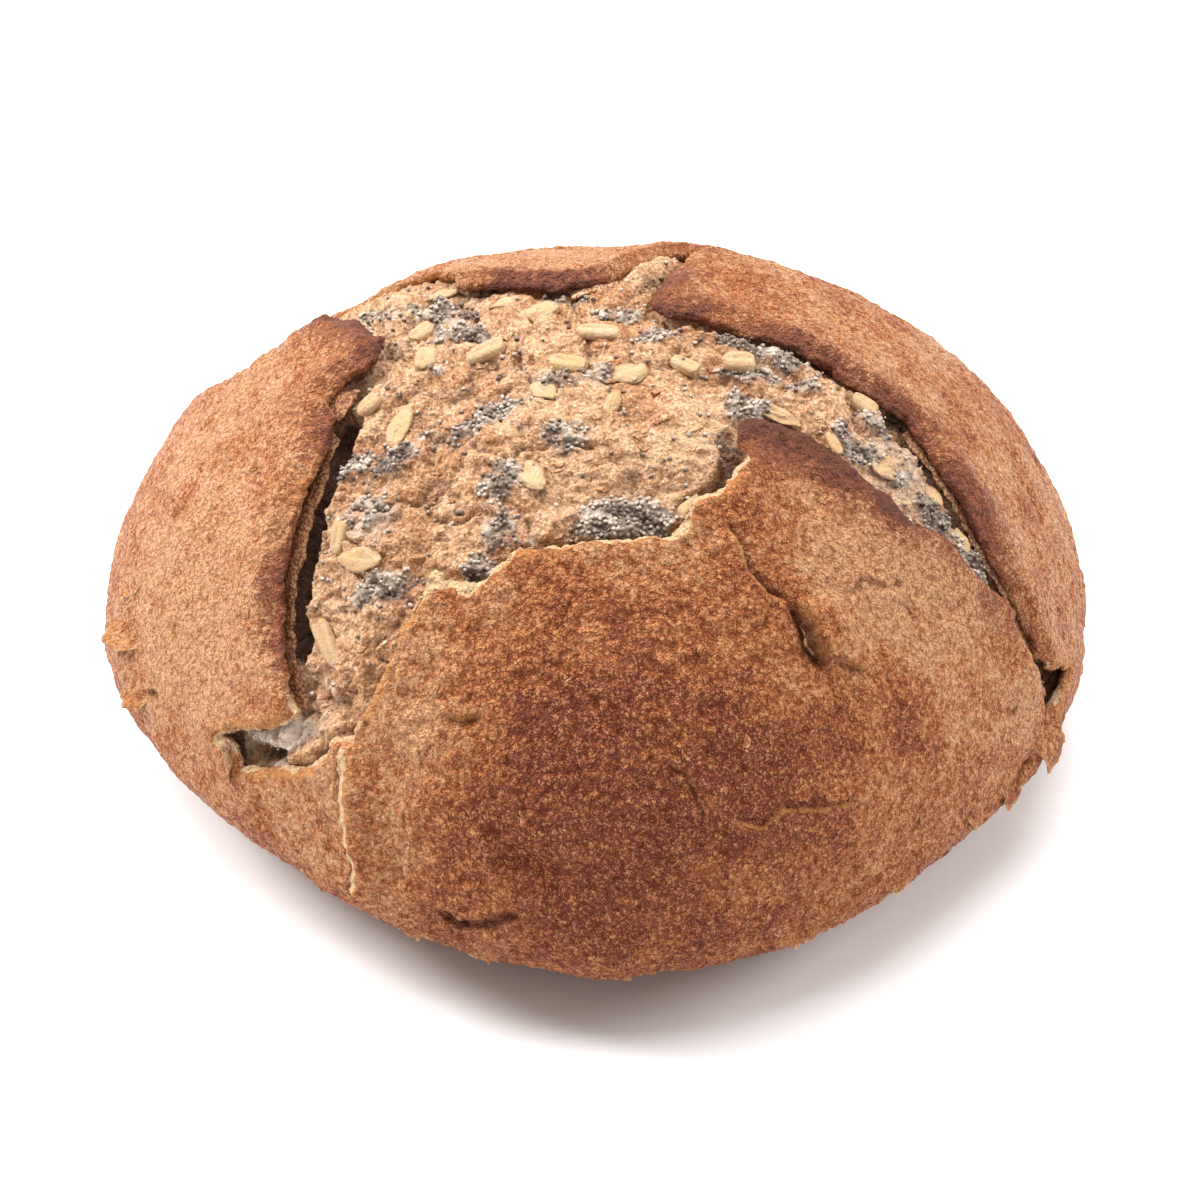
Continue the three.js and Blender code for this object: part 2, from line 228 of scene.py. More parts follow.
# Where the skin peeled off a torn edge and bared a pale band: place, reach
# along the edge, and width of the band.
BARED = [((-37, -66), 5, 3.6), ((-29, -69), 5, 3.8), ((-21, -65), 4, 2.4), ((-8, -61.5), 6, 0.9),
         ((4, -60.5), 5, 1.5), ((14, -58), 5, 2.6), ((22, -50), 4, 1.5), ((29, -43), 4, 1.2),
         ((-48, -79), 9, 0.6), ((-108, -75), 5, 2.2), ((-97, -76), 6, 0.5), ((-100, -85), 4, 0.8),
         ((-86, -92), 5, 1.4), ((-73, -93.5), 6, 2.0), ((-62, -92), 4, 1.6), ((134, -42), 8, 0.8),
         ((119, -46), 7, 0.6), ((-79, -80), 4, 0.9)]

# Oval marks: place, direction, length, width and height in millimetres.
CRUST_MARKS = {
    "thumb_pit": ((-18, -126), (0.85, -0.5), 11, 4.2, -3.2),
    "pit_brow": ((-29, -123), (0.3, -0.95), 7, 2.0, 1.4),
    "raised_flake": ((53, -72), (0.75, -0.65), 9, 5, 1.8),
    "flake_shadow": ((49, -81), (0.75, -0.65), 9, 3, -1.2),
    "front_tear": ((-66, -110), (0.1, 1), 14, 5, 1.5),
    "tear_foot": ((-77, -112), (0.1, 1), 13, 4.5, -1.0),
    "left_rim_tab": ((-133, -28), (0.2, 1), 12, 4, 1.6),
    "left_rim_fold": ((-139, -44), (0.2, 1), 9, 4, -1.5),
    "right_rim_tab": ((133, -62), (0.3, 1), 12, 4, 1.4),
    "front_seam": ((-44, -141), (0.95, -0.3), 14, 4, -2.0),
    "chin": ((0, -152), (1, 0.1), 14, 5, 1.6),
    "right_cheek_fold": ((62, -130), (0.8, 0.6), 18, 5, -1.8),
    "back_hollow": ((30, 110), (0.9, 0.4), 26, 9, -2.0),
}

# The same, on the bare dough.
DOUGH_MARKS = {
    "left_lobe": ((-58, -74), (0.35, 0.95), 18, 9, 2.0),
    "left_crease": ((-42, -56), (0.2, 1), 16, 2.6, -2.2),
    "middle_lobe": ((-20, -32), (0.9, 0.2), 22, 10, 1.2),
    "smooth_swell": ((14, -30), (0.4, -0.9), 14, 9, 1.6),
    "swell_crease": ((4, -48), (0.95, 0.1), 16, 3, -1.8),
    "back_strand": ((12, 24), (0.55, 0.8), 16, 3.5, 2.6),
    "right_strip": ((58, -24), (0.85, -0.45), 30, 7, 1.0),
    "top_hollow": ((-38, 12), (0.9, 0.3), 14, 6, -1.5),
    "right_bank": ((44, -9.5), (0.95, -0.28), 20, 4.5, 1.8),
}

# Where the bare dough caught the heat: place and reach. Where flour was
# dusted: place, reach and how thickly.
BROWNED = [((-36, -26), 14), ((-6, -27), 10), ((-30, -14), 12), ((-38, -56), 12), ((20, -20), 9),
           ((-48, -62), 12)]
DUSTED = [((-62, -70), 14, 0.35), ((-90, -84), 11, 1.0), ((70, -24), 26, 0.55), ((-30, 16), 18, 0.5),
          ((40, -6), 18, 0.5), ((5, -52), 16, 0.4), ((-54, -46), 15, 0.6), ((18, -34), 14, 0.25)]

# Where the dough swells up smooth: place and reach.
CALM_DOUGH = ((18, -32), 14)

# The middle of the floor of the hole at the front left.
HOLE_FLOOR = [(-98, -79), (-86, -84), (-74, -87)]

# Lumps and the cave in the hole at the front left, whose darkness is painted shade:
# place, direction, length, width and height.
HOLE_MARKS = {
    "cave": ((-97.5, -83.5), (0.85, -0.5), 5.5, 2.0, -6.0),
    "cave_end": ((-90, -87), (0.9, -0.4), 3.0, 1.5, -3.0),
    "bulge": ((-86, -82.5), (0.92, -0.4), 8.0, 4.0, 1.6),
    "dome": ((-69.5, -89.5), (1, 0.1), 5.4, 3.8, 2.9),
    "lump_one": ((-79.5, -91.2), (1, 0), 4.4, 2.3, 3.0),
    "lump_two": ((-87.0, -89.4), (0.9, -0.3), 3.4, 1.9, 2.2),
    "cleft": ((-72, -82), (0.6, -0.8), 7.0, 1.2, -2.4),
}

# Beds of poppy seeds on the dough: place, half length, half width, turn in
# degrees, and how thickly they are sown.
POPPY_BEDS = [
    ((4, -55), 12, 6.5, 10, 1.0), ((-8, -36), 6, 4.0, 10, 0.9), ((-26, -30), 10, 4.0, 25, 0.9),
    ((-22, -47), 7, 5.0, 30, 0.9), ((-23, -57), 6, 3.5, 10, 0.7), ((-28, -65), 4, 4.0, 0, 0.7),
    ((-57, -30), 6, 4.0, 10, 0.9), ((-46, -34), 5, 4.0, 10, 0.9), ((-55, -44), 7, 5.0, -20, 0.8),
    ((-52, -64), 11, 4.5, 0, 0.7), ((-28, -1), 7, 3.5, -10, 0.9), ((-30, 7), 6, 4.5, 20, 0.8),
    ((-34, -10), 3, 2.0, 0, 0.9), ((-10, -20), 7, 2.5, -10, 0.8), ((-36, 15), 9, 4.0, -20, 0.8),
    ((3, 2), 6, 3.0, 10, 0.7), ((11, -7), 5, 3.5, 0, 0.8), ((-8, 10), 7, 2.0, -5, 0.7),
    ((31, -13), 8, 3.5, 5, 0.8), ((32, -24), 7, 4.5, 30, 0.9), ((43, -14), 3, 3.5, 0, 0.7),
    ((56, -25), 7, 4.5, -10, 0.8), ((68.5, -28), 3, 3.5, 0, 0.9), ((78, -31), 5, 3.5, -30, 0.9),
    ((90, -36), 9, 4.5, -25, 1.0), ((24, -38), 5, 6.0, 0, 0.25), ((32, -6), 12, 2.5, -15, 0.8),
    ((-70, -82), 3, 4.5, 0, 0.6), ((-38, -30), 5, 3.5, 0, 0.3), ((60, -17), 7, 3.0, -30, 0.6),
    ((-2, -18), 6, 2.5, 0, 0.6), ((-48, 22), 7, 3.5, -40, 0.6), ((-17, -60), 3, 2.0, 0, 0.4),
]

# Oat grains and flakes: place, length, width, turn in degrees, how far up the
# near end tilts in degrees, and the kind of grain.
OATS = [
    ((-36, -5.5), 7.5, 5.6, 80, 4, "groat"), ((-24, -8), 9.8, 4.8, 14, 6, "groat"),
    ((-45, -24), 9.5, 5.2, 64, 2, "flake"), ((-62, -47), 8.0, 3.8, 60, 8, "groat"),
    ((-56.5, -56), 11.0, 5.0, -25, 3, "flake"), ((-69, -70), 12.0, 4.2, 95, 5, "groat"),
    ((-1, -5), 9.5, 4.4, -6, 3, "groat"), ((-8, -15.5), 10.0, 4.4, -20, 6, "groat"),
    ((-15, -46), 10.0, 4.6, -55, 14, "flake"), ((-12, 4), 8.5, 6.0, 20, 5, "flake"),
    ((39, -24.5), 9.5, 3.8, -10, 4, "flake"), ((29, -12), 7.5, 5.2, 10, 6, "groat"),
    ((51, -27), 6.5, 2.6, -60, 6, "groat"), ((64, -27), 7.0, 5.5, 20, 3, "flake"),
    ((56, -12), 7.0, 4.6, -20, 5, "groat"), ((77, -25), 6.5, 3.4, -70, 20, "flake"),
    ((18, -53), 9.0, 4.6, 65, 22, "flake"), ((18, -15), 8.0, 4.0, -30, 4, "groat"),
    ((-13, -24), 6.5, 4.2, -50, 10, "flake"), ((5.5, -17), 8.0, 6.8, 10, 5, "flake"),
    ((-36, 5), 7.0, 5.4, 40, 6, "groat"), ((-33, 20), 8.5, 4.2, -15, 5, "flake"),
    ((-19, 8), 7.5, 4.0, 0, 8, "flake"), ((2, -27), 6.0, 3.6, 70, 8, "flake"),
    ((-50, -14), 6.0, 4.0, 30, 5, "groat"), ((86, -33), 6.0, 3.2, -35, 8, "flake"),
]

# Where one stretch of crust ends and the next begins, from the opening down
# to the underside. Each curve is a torn corner of the opening carried on.
SEAMS = {
    "left_to_back": [(-60, 27), (-78, 34.5), (-93, 41.5), (-101, 58), (-105, 84), (-107, 112), (-110, 142)],
    "back_to_right": [(19, 33), (28, 60), (34, 100), (44, 170)],
    "right_to_front_right": [(100, -38.5), (112, -42), (122, -43), (129, -48), (133, -52.5), (141, -58),
                             (150, -70), (160, -80)],
    "front_right_to_front": [(18, -54), (27, -60), (33, -66), (42.5, -70), (50, -78), (60, -90), (66, -106),
                             (64, -122), (70, -140), (78, -158)],
    "front_to_left": [(-66, -93), (-70, -100), (-73, -113), (-72, -120), (-76, -126), (-84, -150)],
}
UNDERSIDE_SKIN = 174.0      # skin from the top to the rim of the underside
DOUGH_MARGIN = 5.0          # how far the dough stays finely modelled under the crust
CRUST_SCALES = 60           # small scales all over the baked skin
DOUGH_SCALES = 110          # small scales all over the bare dough

# ---- Sizes and colours ---------------------------------------------------


def size(name, description, millimetres, low=0.0):
    """A length; its lowest value is in metres."""
    return FloatProperty(
        name=name, description=description, default=millimetres * MM, min=low, unit="LENGTH")


def share(name, description, value):
    return FloatProperty(name=name, description=description, default=value, min=-1.0, max=4.0)


def tone(name, description, value):
    return FloatVectorProperty(
        name=name, description=description, default=value, size=3, min=0.0, max=1.0, subtype="COLOR")


class BreadShape(bpy.types.PropertyGroup):
    """Sizes of the bread, its crust and what is strewn on it"""

    mean_radius: size("Mean Radius", "Radius of the widest girth, before it strays from round", 100)
    oval: share("Oval", "How much wider the bread is than deep", 0.046)
    pear: share("Pear", "How much fuller the two front cheeks are", 0.048)
    pear_turn: share("Pear Turn", "How far that fullness is turned", -0.014)
    squareness: share("Squareness", "How much the plan strays to a square", 0.011)
    widest_height: size("Widest Height", "Height of the widest girth", 26)
    dome_height: size("Dome Height", "Height of the top over the widest girth", 86)
    flat_radius: size("Flat Radius", "Radius of the flat spot underneath", 56)
    dome_fullness: share("Dome Fullness", "2 is an ellipse, less is more pointed", 1.9)
    belly_fullness: share("Belly Fullness", "The same, below the widest girth", 1.7)
    crust_thickness: size("Crust Thickness", "Thickness of the baked skin", 3)
    crust_steps: IntProperty(name="Crust Steps", description="Faces along one side of each grid part",
                             default=192, min=20, max=220)
    dough_face: size("Dough Face", "Width of the faces on the bare dough", 0.49, 0.0002)
    poppy_length: size("Poppy Length", "Length of a poppy seed", 1.3)
    flour_grain: size("Flour Grain", "Width of the largest lumps of flour", 0.7)


class BreadColours(bpy.types.PropertyGroup):
    """Colours of the bread, as linear values"""

    crust_light: tone("Light Crust", "The palest baked skin", (0.635, 0.345, 0.180))
    crust_mid: tone("Crust", "The baked skin over most of the bread", (0.500, 0.168, 0.048))
    # Deep Crust is also painted shade: the darker front and lower skin, and the hollows of the thin skins'
    # grain.
    crust_deep: tone("Deep Crust", "The skin where it baked darkest", (0.275, 0.060, 0.011))
    crust_tip: tone("Grain Tip", "The pale tips of the grain", (0.780, 0.430, 0.180))
    # The grain tips are partly paler baked crust and partly painted highlight.
    crust_red: tone("Toasted Skin", "The skin beside a curled edge", (0.235, 0.068, 0.026))
    # The toasted edge's tone is also painted shade in cracks and pits.
    crust_burnt: tone("Toasted Edge", "The curled edges of the flaps", (0.115, 0.034, 0.015))
    crust_amber: tone("Amber Edge", "Thin torn skin", (0.520, 0.215, 0.060))
    torn_flesh: tone("Torn Flesh", "The pale inside of the crust", (0.660, 0.430, 0.240))
    dough: tone("Dough", "The bare dough", (0.590, 0.370, 0.212))
    dough_brown: tone("Browned Dough", "Where the bare dough caught the heat", (0.400, 0.185, 0.075))
    # Deep Dough is both the dark specks and painted shade at the bottom of folds and crevices.
    dough_dark: tone("Deep Dough", "The bottom of folds and crevices", (0.110, 0.052, 0.030))
    flour: tone("Flour", "Dusted flour", (0.760, 0.625, 0.510))
    poppy: tone("Poppy", "Poppy seeds", (0.082, 0.050, 0.036))
    oat: tone("Oat", "Oat grains", (0.500, 0.325, 0.170))


# ---- Noise ---------------------------------------------------------------


def hashed(ix, iy, iz, seed):
    """A number from 0 to 1 for each cell of a grid, the same every time."""
    h = (ix.astype(np.uint32) * np.uint32(0x8DA6B343)) ^ (iy.astype(np.uint32) * np.uint32(0xD8163841))
    h ^= (iz.astype(np.uint32) * np.uint32(0xCB1AB31F)) + np.uint32((seed * 0x9E3779B1) & 0xFFFFFFFF)
    h ^= h >> np.uint32(15)
    h *= np.uint32(0x2C1B3C6D)
    h ^= h >> np.uint32(12)
    h *= np.uint32(0x297A2D39)
    h ^= h >> np.uint32(15)
    return h.astype(np.float64) / 4294967296.0


def noise(points, wavelength, seed):
    """Smooth noise from -1 to 1 at points in millimetres."""
    p = points / wavelength + seed * 7.31
    cell = np.floor(p)
    f = p - cell
    f = f * f * f * (f * (f * 6 - 15) + 10)
    ix, iy, iz = cell.astype(np.int64).T
    total = np.zeros(len(points))
    for dx in (0, 1):
        wx = f[:, 0] if dx else 1 - f[:, 0]
        for dy in (0, 1):
            wy = f[:, 1] if dy else 1 - f[:, 1]
            for dz in (0, 1):
                wz = f[:, 2] if dz else 1 - f[:, 2]
                total += wx * wy * wz * hashed(ix + dx, iy + dy, iz + dz, seed)
    return total * 2 - 1


def layered(points, wavelength, seed, layers=3, fade=0.5):
    """Noise in layers, each finer and weaker than the one before."""
    total = np.zeros(len(points))
    strength = 1.0
    weight = 0.0
    for layer in range(layers):
        total += strength * noise(points, wavelength / 2.03 ** layer, seed + 17 * layer)
        weight += strength
        strength *= fade
    return total / weight


def grains(points, wavelength, seed):
    """Distance to the nearest of many scattered points, from 0 to about 1, and a value for each point."""
    p = points / wavelength
    cell = np.floor(p).astype(np.int64)
    nearest = np.full(len(points), 9.0)
    value = np.zeros(len(points))
    for dx in (-1, 0, 1):
        for dy in (-1, 0, 1):
            for dz in (-1, 0, 1):
                cx, cy, cz = cell[:, 0] + dx, cell[:, 1] + dy, cell[:, 2] + dz
                ax = cx + hashed(cx, cy, cz, seed) - p[:, 0]
                ay = cy + hashed(cx, cy, cz, seed + 1) - p[:, 1]
                az = cz + hashed(cx, cy, cz, seed + 2) - p[:, 2]
                distance = ax * ax + ay * ay + az * az
                closer = distance < nearest
                nearest[closer] = distance[closer]
                value[closer] = hashed(cx, cy, cz, seed + 3)[closer]
    return np.sqrt(nearest), value


def smooth(low, high, x):
    """0 at the low value, 1 at the high one, and a soft step between them."""
    t = np.clip((x - low) / (high - low), 0, 1)
    return t * t * (3 - 2 * t)


def bell(distance, reach):
    """1 at no distance, fading away over a reach."""
    return np.exp(-((distance / reach) ** 2))


# ---- The bare form -------------------------------------------------------


class Skin:
    """The bread's bare form, in millimetres."""

    STEPS = 400

    def __init__(self, shape):
        self.shape = shape
        mean, flat = shape.mean_radius / MM, shape.flat_radius / MM
        wide, dome = shape.widest_height / MM, shape.dome_height / MM
        turn = np.linspace(0, math.pi / 2, self.STEPS + 1)
        cos, sin = np.clip(np.cos(turn), 0, 1), np.sin(turn)
        top, low = 2 / shape.dome_fullness, 2 / shape.belly_fullness
        radius = [mean * cos[::-1] ** top, flat + (mean - flat) * cos[1:] ** low, [0.0]]
        height = [wide + dome * sin[::-1] ** top, wide * (1 - sin[1:] ** low), [0.0]]
        self.radius = np.concatenate(radius)
        self.height = np.concatenate(height)
        step = np.hypot(np.diff(self.radius), np.diff(self.height))
        self.skin = np.concatenate([[0.0], np.cumsum(step)])
        self.to_centre = self.skin[-1]
        self.to_flat = self.to_centre - flat

    def plan(self, angle):
        """How far the plan strays from round each way, and how fast that changes."""
        s = self.shape
        factor = (1 + s.oval * np.cos(2 * angle) + s.pear_turn * np.cos(3 * angle)
                  + s.pear * np.sin(3 * angle) + s.squareness * np.cos(4 * angle))
        slope = (-2 * s.oval * np.sin(2 * angle) - 3 * s.pear_turn * np.sin(3 * angle)
                 + 3 * s.pear * np.cos(3 * angle) - 4 * s.squareness * np.sin(4 * angle))
        return factor, slope

    def at(self, uv):
        """Places of points on the bare form, and the outward normals there."""
        angle = np.arctan2(uv[:, 1], uv[:, 0])
        skin = np.minimum(from_top(uv), self.to_centre)
        radius = np.interp(skin, self.skin, self.radius)
        height = np.interp(skin, self.skin, self.height)
        near, far = np.maximum(skin - 0.5, 0), np.minimum(skin + 0.5, self.to_centre)
        radius_slope = np.interp(far, self.skin, self.radius) - np.interp(near, self.skin, self.radius)
        height_slope = np.interp(far, self.skin, self.height) - np.interp(near, self.skin, self.height)
        factor, slope = self.plan(angle)
        cos, sin = np.cos(angle), np.sin(angle)
        place = np.stack([radius * factor * cos, radius * factor * sin, height], 1)
        down = np.stack([radius_slope * factor * cos, radius_slope * factor * sin, height_slope], 1)
        around = np.stack([slope * cos - factor * sin, slope * sin + factor * cos, np.zeros_like(cos)], 1)
        normal = np.cross(down, around)
        normal /= np.maximum(np.linalg.norm(normal, axis=1, keepdims=True), 1e-9)
        normal[skin < 0.5] = (0, 0, 1)
        normal[skin > self.to_centre - 0.5] = (0, 0, -1)
        return place, normal

    def out(self, uv, height):
        """Places at a height over the bare form."""
        place, normal = self.at(uv)
        return place + normal * np.reshape(height, (-1, 1))

    def fade_under(self, uv):
        """1 over the bread, falling to 0 where it curls under to its flat spot."""
        return np.clip((self.to_flat - 4 - from_top(uv)) / 25, 0, 1)


def line_distance(uv, points, closed=False):
    """Distance to a line, how far along it the nearest place is, and the side: 1 left, -1 right."""
    best = np.full(len(uv), np.inf)
    along, side = np.zeros(len(uv)), np.ones(len(uv))
    walked = 0.0
    ends = points[1:] + points[:1] if closed else points[1:]
    for (au, av), (bu, bv) in zip(points, ends):
        du, dv = bu - au, bv - av
        length = math.hypot(du, dv)
        t = np.clip(((uv[:, 0] - au) * du + (uv[:, 1] - av) * dv) / length ** 2, 0, 1)
        off_u, off_v = uv[:, 0] - au - t * du, uv[:, 1] - av - t * dv
        distance = np.hypot(off_u, off_v)
        closer = distance < best
        best[closer] = distance[closer]
        along[closer] = (walked + t * length)[closer]
        side[closer] = np.where(du * off_v - dv * off_u >= 0, 1.0, -1.0)[closer]
        walked += length
    return best, along, side


def inside(uv, points):
    """Which places lie inside a closed outline."""
    result = np.zeros(len(uv), bool)
    for (au, av), (bu, bv) in zip(points, points[1:] + points[:1]):
        if av == bv:
            continue
        crosses = (av > uv[:, 1]) != (bv > uv[:, 1])
        result ^= crosses & (uv[:, 0] < au + (uv[:, 1] - av) / (bv - av) * (bu - au))
    return result


def patch(uv, spot, reach):
    """1 at a spot, fading away all round it."""
    return bell(np.hypot(*(uv - spot).T), reach)


def from_top(uv):
    """How far down the skin each place lies."""
    return np.hypot(uv[:, 0], uv[:, 1])


def marks(uv, table):
    """The height of a table of oval marks."""
    total = np.zeros(len(uv))
    for (mu, mv), (cu, cv), length, width, height in table.values():
        scale = math.hypot(cu, cv)
        du, dv = uv[:, 0] - mu, uv[:, 1] - mv
        along, across = (du * cu + dv * cv) / scale, (dv * cu - du * cv) / scale
        total += height * bell(along, length) * bell(across, width)
    return total


def ovals(uv, table):
    """How thickly each place is sown: full in the middle of an oval bed, and 0 outside them all."""
    depth = np.zeros(len(uv))
    for (mu, mv), length, width, turn, thickness in table:
        cos, sin = math.cos(math.radians(turn)), math.sin(math.radians(turn))
        du, dv = uv[:, 0] - mu, uv[:, 1] - mv
        reach = np.hypot((du * cos + dv * sin) / length, (dv * cos - du * sin) / width)
        depth = np.maximum(depth, thickness * (1 - smooth(0.55, 1.15, reach)))
    return depth


# ---- What the torn edges do ----------------------------------------------


def wobble(place, wavelength, seed):
    """Shifts across the skin, from -1 to 1 each way."""
    return np.stack([layered(place, wavelength, seed + k, 4, 0.6) for k in (0, 5)], 1)


class TornEdges:
    """What the torn edges do to the skin at many places."""

    FAR = 168.0     # no torn edge reaches further down the skin than this

    def __init__(self, uv, place):
        near = from_top(uv) < self.FAR
        self.outside = np.full(len(uv), 99.0)
        self.lift, self.drop, self.gap, self.dark, self.torn = (np.zeros(len(uv)) for _ in range(5))
        spots, at = uv[near], place[near]
        weight, ragged = np.full(len(spots), 1e-9), np.zeros(len(spots))
        for edge in CRUST_EDGES.values():
            pull = np.exp(-line_distance(spots, edge.points)[0] / 3)
            weight += pull
            ragged += pull * edge.ragged
        spots = spots + wobble(at, 7.5, 11) * (1.9 * ragged / weight)[:, None]
        closest = line_distance(spots, OPENING, closed=True)[0]
        bare = inside(spots, OPENING)
        self.outside[near] = np.where(bare, -closest, closest)
        patchy = layered(at, 9, 23, 3)
        lift, drop, gap, dark = (np.zeros(len(spots)) for _ in range(4))
        for edge in CRUST_EDGES.values():
            distance = line_distance(spots, edge.points)[0]
            lift = np.maximum(lift, edge.lift * bell(distance, edge.reach))
            drop = np.maximum(drop, edge.drop * (1 - smooth(0, edge.roll, distance)))
            crevice = 1 - smooth(0.35 * edge.gap_width, edge.gap_width, distance)
            gap = np.maximum(gap, edge.gap * crevice)
            band = edge.dark_width * (1.1 + 0.7 * patchy)
            dark = np.maximum(dark, edge.dark * np.clip(1 - distance / band, 0, 1))
        toasted = np.max([patch(spots, spot, reach) for spot, reach in TOASTED], axis=0)
        dark *= np.clip(0.30 + 0.85 * toasted + 0.25 * patchy, 0, 1)
        width = np.max([width * patch(spots, spot, reach) for spot, reach, width in BARED], axis=0)
        width *= 1 + 0.5 * layered(at, 2.6, 27, 2)
        torn = 1 - smooth(width - 0.35, width + 0.15, closest + 0.35)
        self.lift[near], self.drop[near], self.gap[near] = lift, drop, gap
        self.dark[near], self.torn[near] = dark, torn


class Crust:
    """Height and looks of the crust at many places of the skin."""

    def __init__(self, skin, uv, with_grain=True):
        place, _ = skin.at(uv)
        self.uv, self.place = uv, place
        edges = TornEdges(uv, place)
        self.outside, self.dark, self.torn = edges.outside, edges.dark, edges.torn
        height = edges.lift - edges.drop + marks(uv, CRUST_MARKS)
        height += 0.55 * layered(place, 34, 31, 2) + 0.42 * layered(place, 11, 32, 3)
        height += 0.75 * bell(self.outside, 7) * noise(place, 5.5, 35) * smooth(1.0, 3.0, edges.lift)
        self.crack, self.amber = np.zeros(len(uv)), np.zeros(len(uv))
        shaken = uv + wobble(place, 5.0, 41)
        for tear in TEARS.values():
            self.add_tear(tear, uv, shaken, height)
        self.broad = height * skin.fade_under(uv)
        if with_grain:
            self.add_grain(skin)

    def add_tear(self, tear, uv, shaken, height):
        low, high = np.min(tear.points, axis=0) - 25, np.max(tear.points, axis=0) + 25
        near = np.flatnonzero(((uv > low) & (uv < high)).all(axis=1))
        spots = uv[near] + (shaken[near] - uv[near]) * tear.ragged
        distance, along, side = line_distance(spots, tear.points)
        length = sum(math.dist(a, b) for a, b in zip(tear.points, tear.points[1:]))
        ends = smooth(0, 3, along) * smooth(0, 3, length - along)
        leftward = distance * side
        high_side = smooth(-0.35, 0.35, leftward) * bell(leftward, tear.reach)
        groove = bell(leftward + 0.65 * tear.width, tear.width)
        height[near] += ends * (tear.step * high_side - tear.groove * groove)
        self.crack[near] = np.maximum(self.crack[near], ends * groove * min(tear.groove, 1.0))
        for width, band in ((tear.pale, self.torn), (tear.amber, self.amber)):
            if width:
                width = width * (1.0 + 0.5 * noise(self.place[near], 4, 57))
                laid = smooth(-0.5, 0.0, leftward) * (1 - smooth(0.4 * width, 1.1 * width, leftward)) * ends
                band[near] = np.maximum(band[near], laid)

    def add_grain(self, skin):
        place = self.place
        u, v = self.uv.T
        front = smooth(20, -60, place[:, 1]) * smooth(95, 40, np.abs(place[:, 0]))
        right = smooth(10, 30, u) * smooth(-90, -40, v)
        coarse, _ = grains(place, 2.3, 61)
        fine, _ = grains(place, 1.3, 71)
        holes, which = grains(place, 10.5, 81)
        self.pit = bell(holes * 10.5, 0.8) * (which > 0.6)
        wrinkle = layered(place * np.array([1.0, 1.0, 1.6]), 4.2, 91, 3)
        along_ridges = np.stack([(0.87 * u - 0.5 * v) / 3.5, 0.5 * u + 0.87 * v, np.zeros(len(u))], 1)
        ridges = layered(along_ridges, 3.6, 93, 3)
        grain = (0.26 + 0.50 * front) * (0.5 - coarse) + (0.28 + 0.26 * front) * (0.5 - fine)
        # How high the grain stands at each place; the material paints shade where it is low.
        self.grain = np.clip(0.5 + 0.9 * (0.5 - fine) + 0.7 * (0.5 - coarse), 0, 1)
        height = (0.34 + 0.36 * front) * wrinkle + 0.55 * right * ridges + grain - 0.8 * self.pit
        height += (0.30 + 0.25 * front) * layered(place, 8.5, 99, 2)
        height += 0.30 * layered(place, 1.6, 97, 2) - self.torn * (0.75 + 0.35 * noise(place, 1.1, 95))
        under = skin.fade_under(self.uv)
        self.height = self.broad + height * np.maximum(under, 0.4)
        flat = from_top(self.uv) > skin.to_flat - 6
        self.height[flat] = np.minimum(self.height[flat], 0)

    def looks(self):
        """What the crust's material reads."""
        z = self.place[:, 2]
        patchy = layered(self.place, 30, 101, 3)
        mottled = layered(self.place, 7, 105, 3)
        # Painted shade: the skin is painted darker low down, where it turns away from the light above, on
        # top of how it baked.
        toast_and_shade = 0.30 + 0.15 * smooth(45, 15, z) + 0.22 * patchy + 0.20 * mottled
        for spot, reach, change in TONES_AND_SHADE:
            toast_and_shade += change * patch(self.uv, spot, reach)
        edge = smooth(4.5, 0.5, np.abs(self.outside)) * (1 - smooth(0, 0.3, self.dark))
        amber = np.maximum(edge * smooth(10, -40, self.place[:, 1]) * (0.75 + 0.5 * mottled), self.amber)
        return {
            "toast_and_shade": np.clip(toast_and_shade, 0, 1),
            "burnt": np.clip(self.dark, 0, 1),
            "torn": np.clip(self.torn, 0, 1),
            "amber": np.clip(amber, 0, 1),
            # Cracks and pits, where the material paints shade.
            "crack": np.clip(np.maximum(self.crack, self.pit), 0, 1),
            "grain": self.grain,
        }


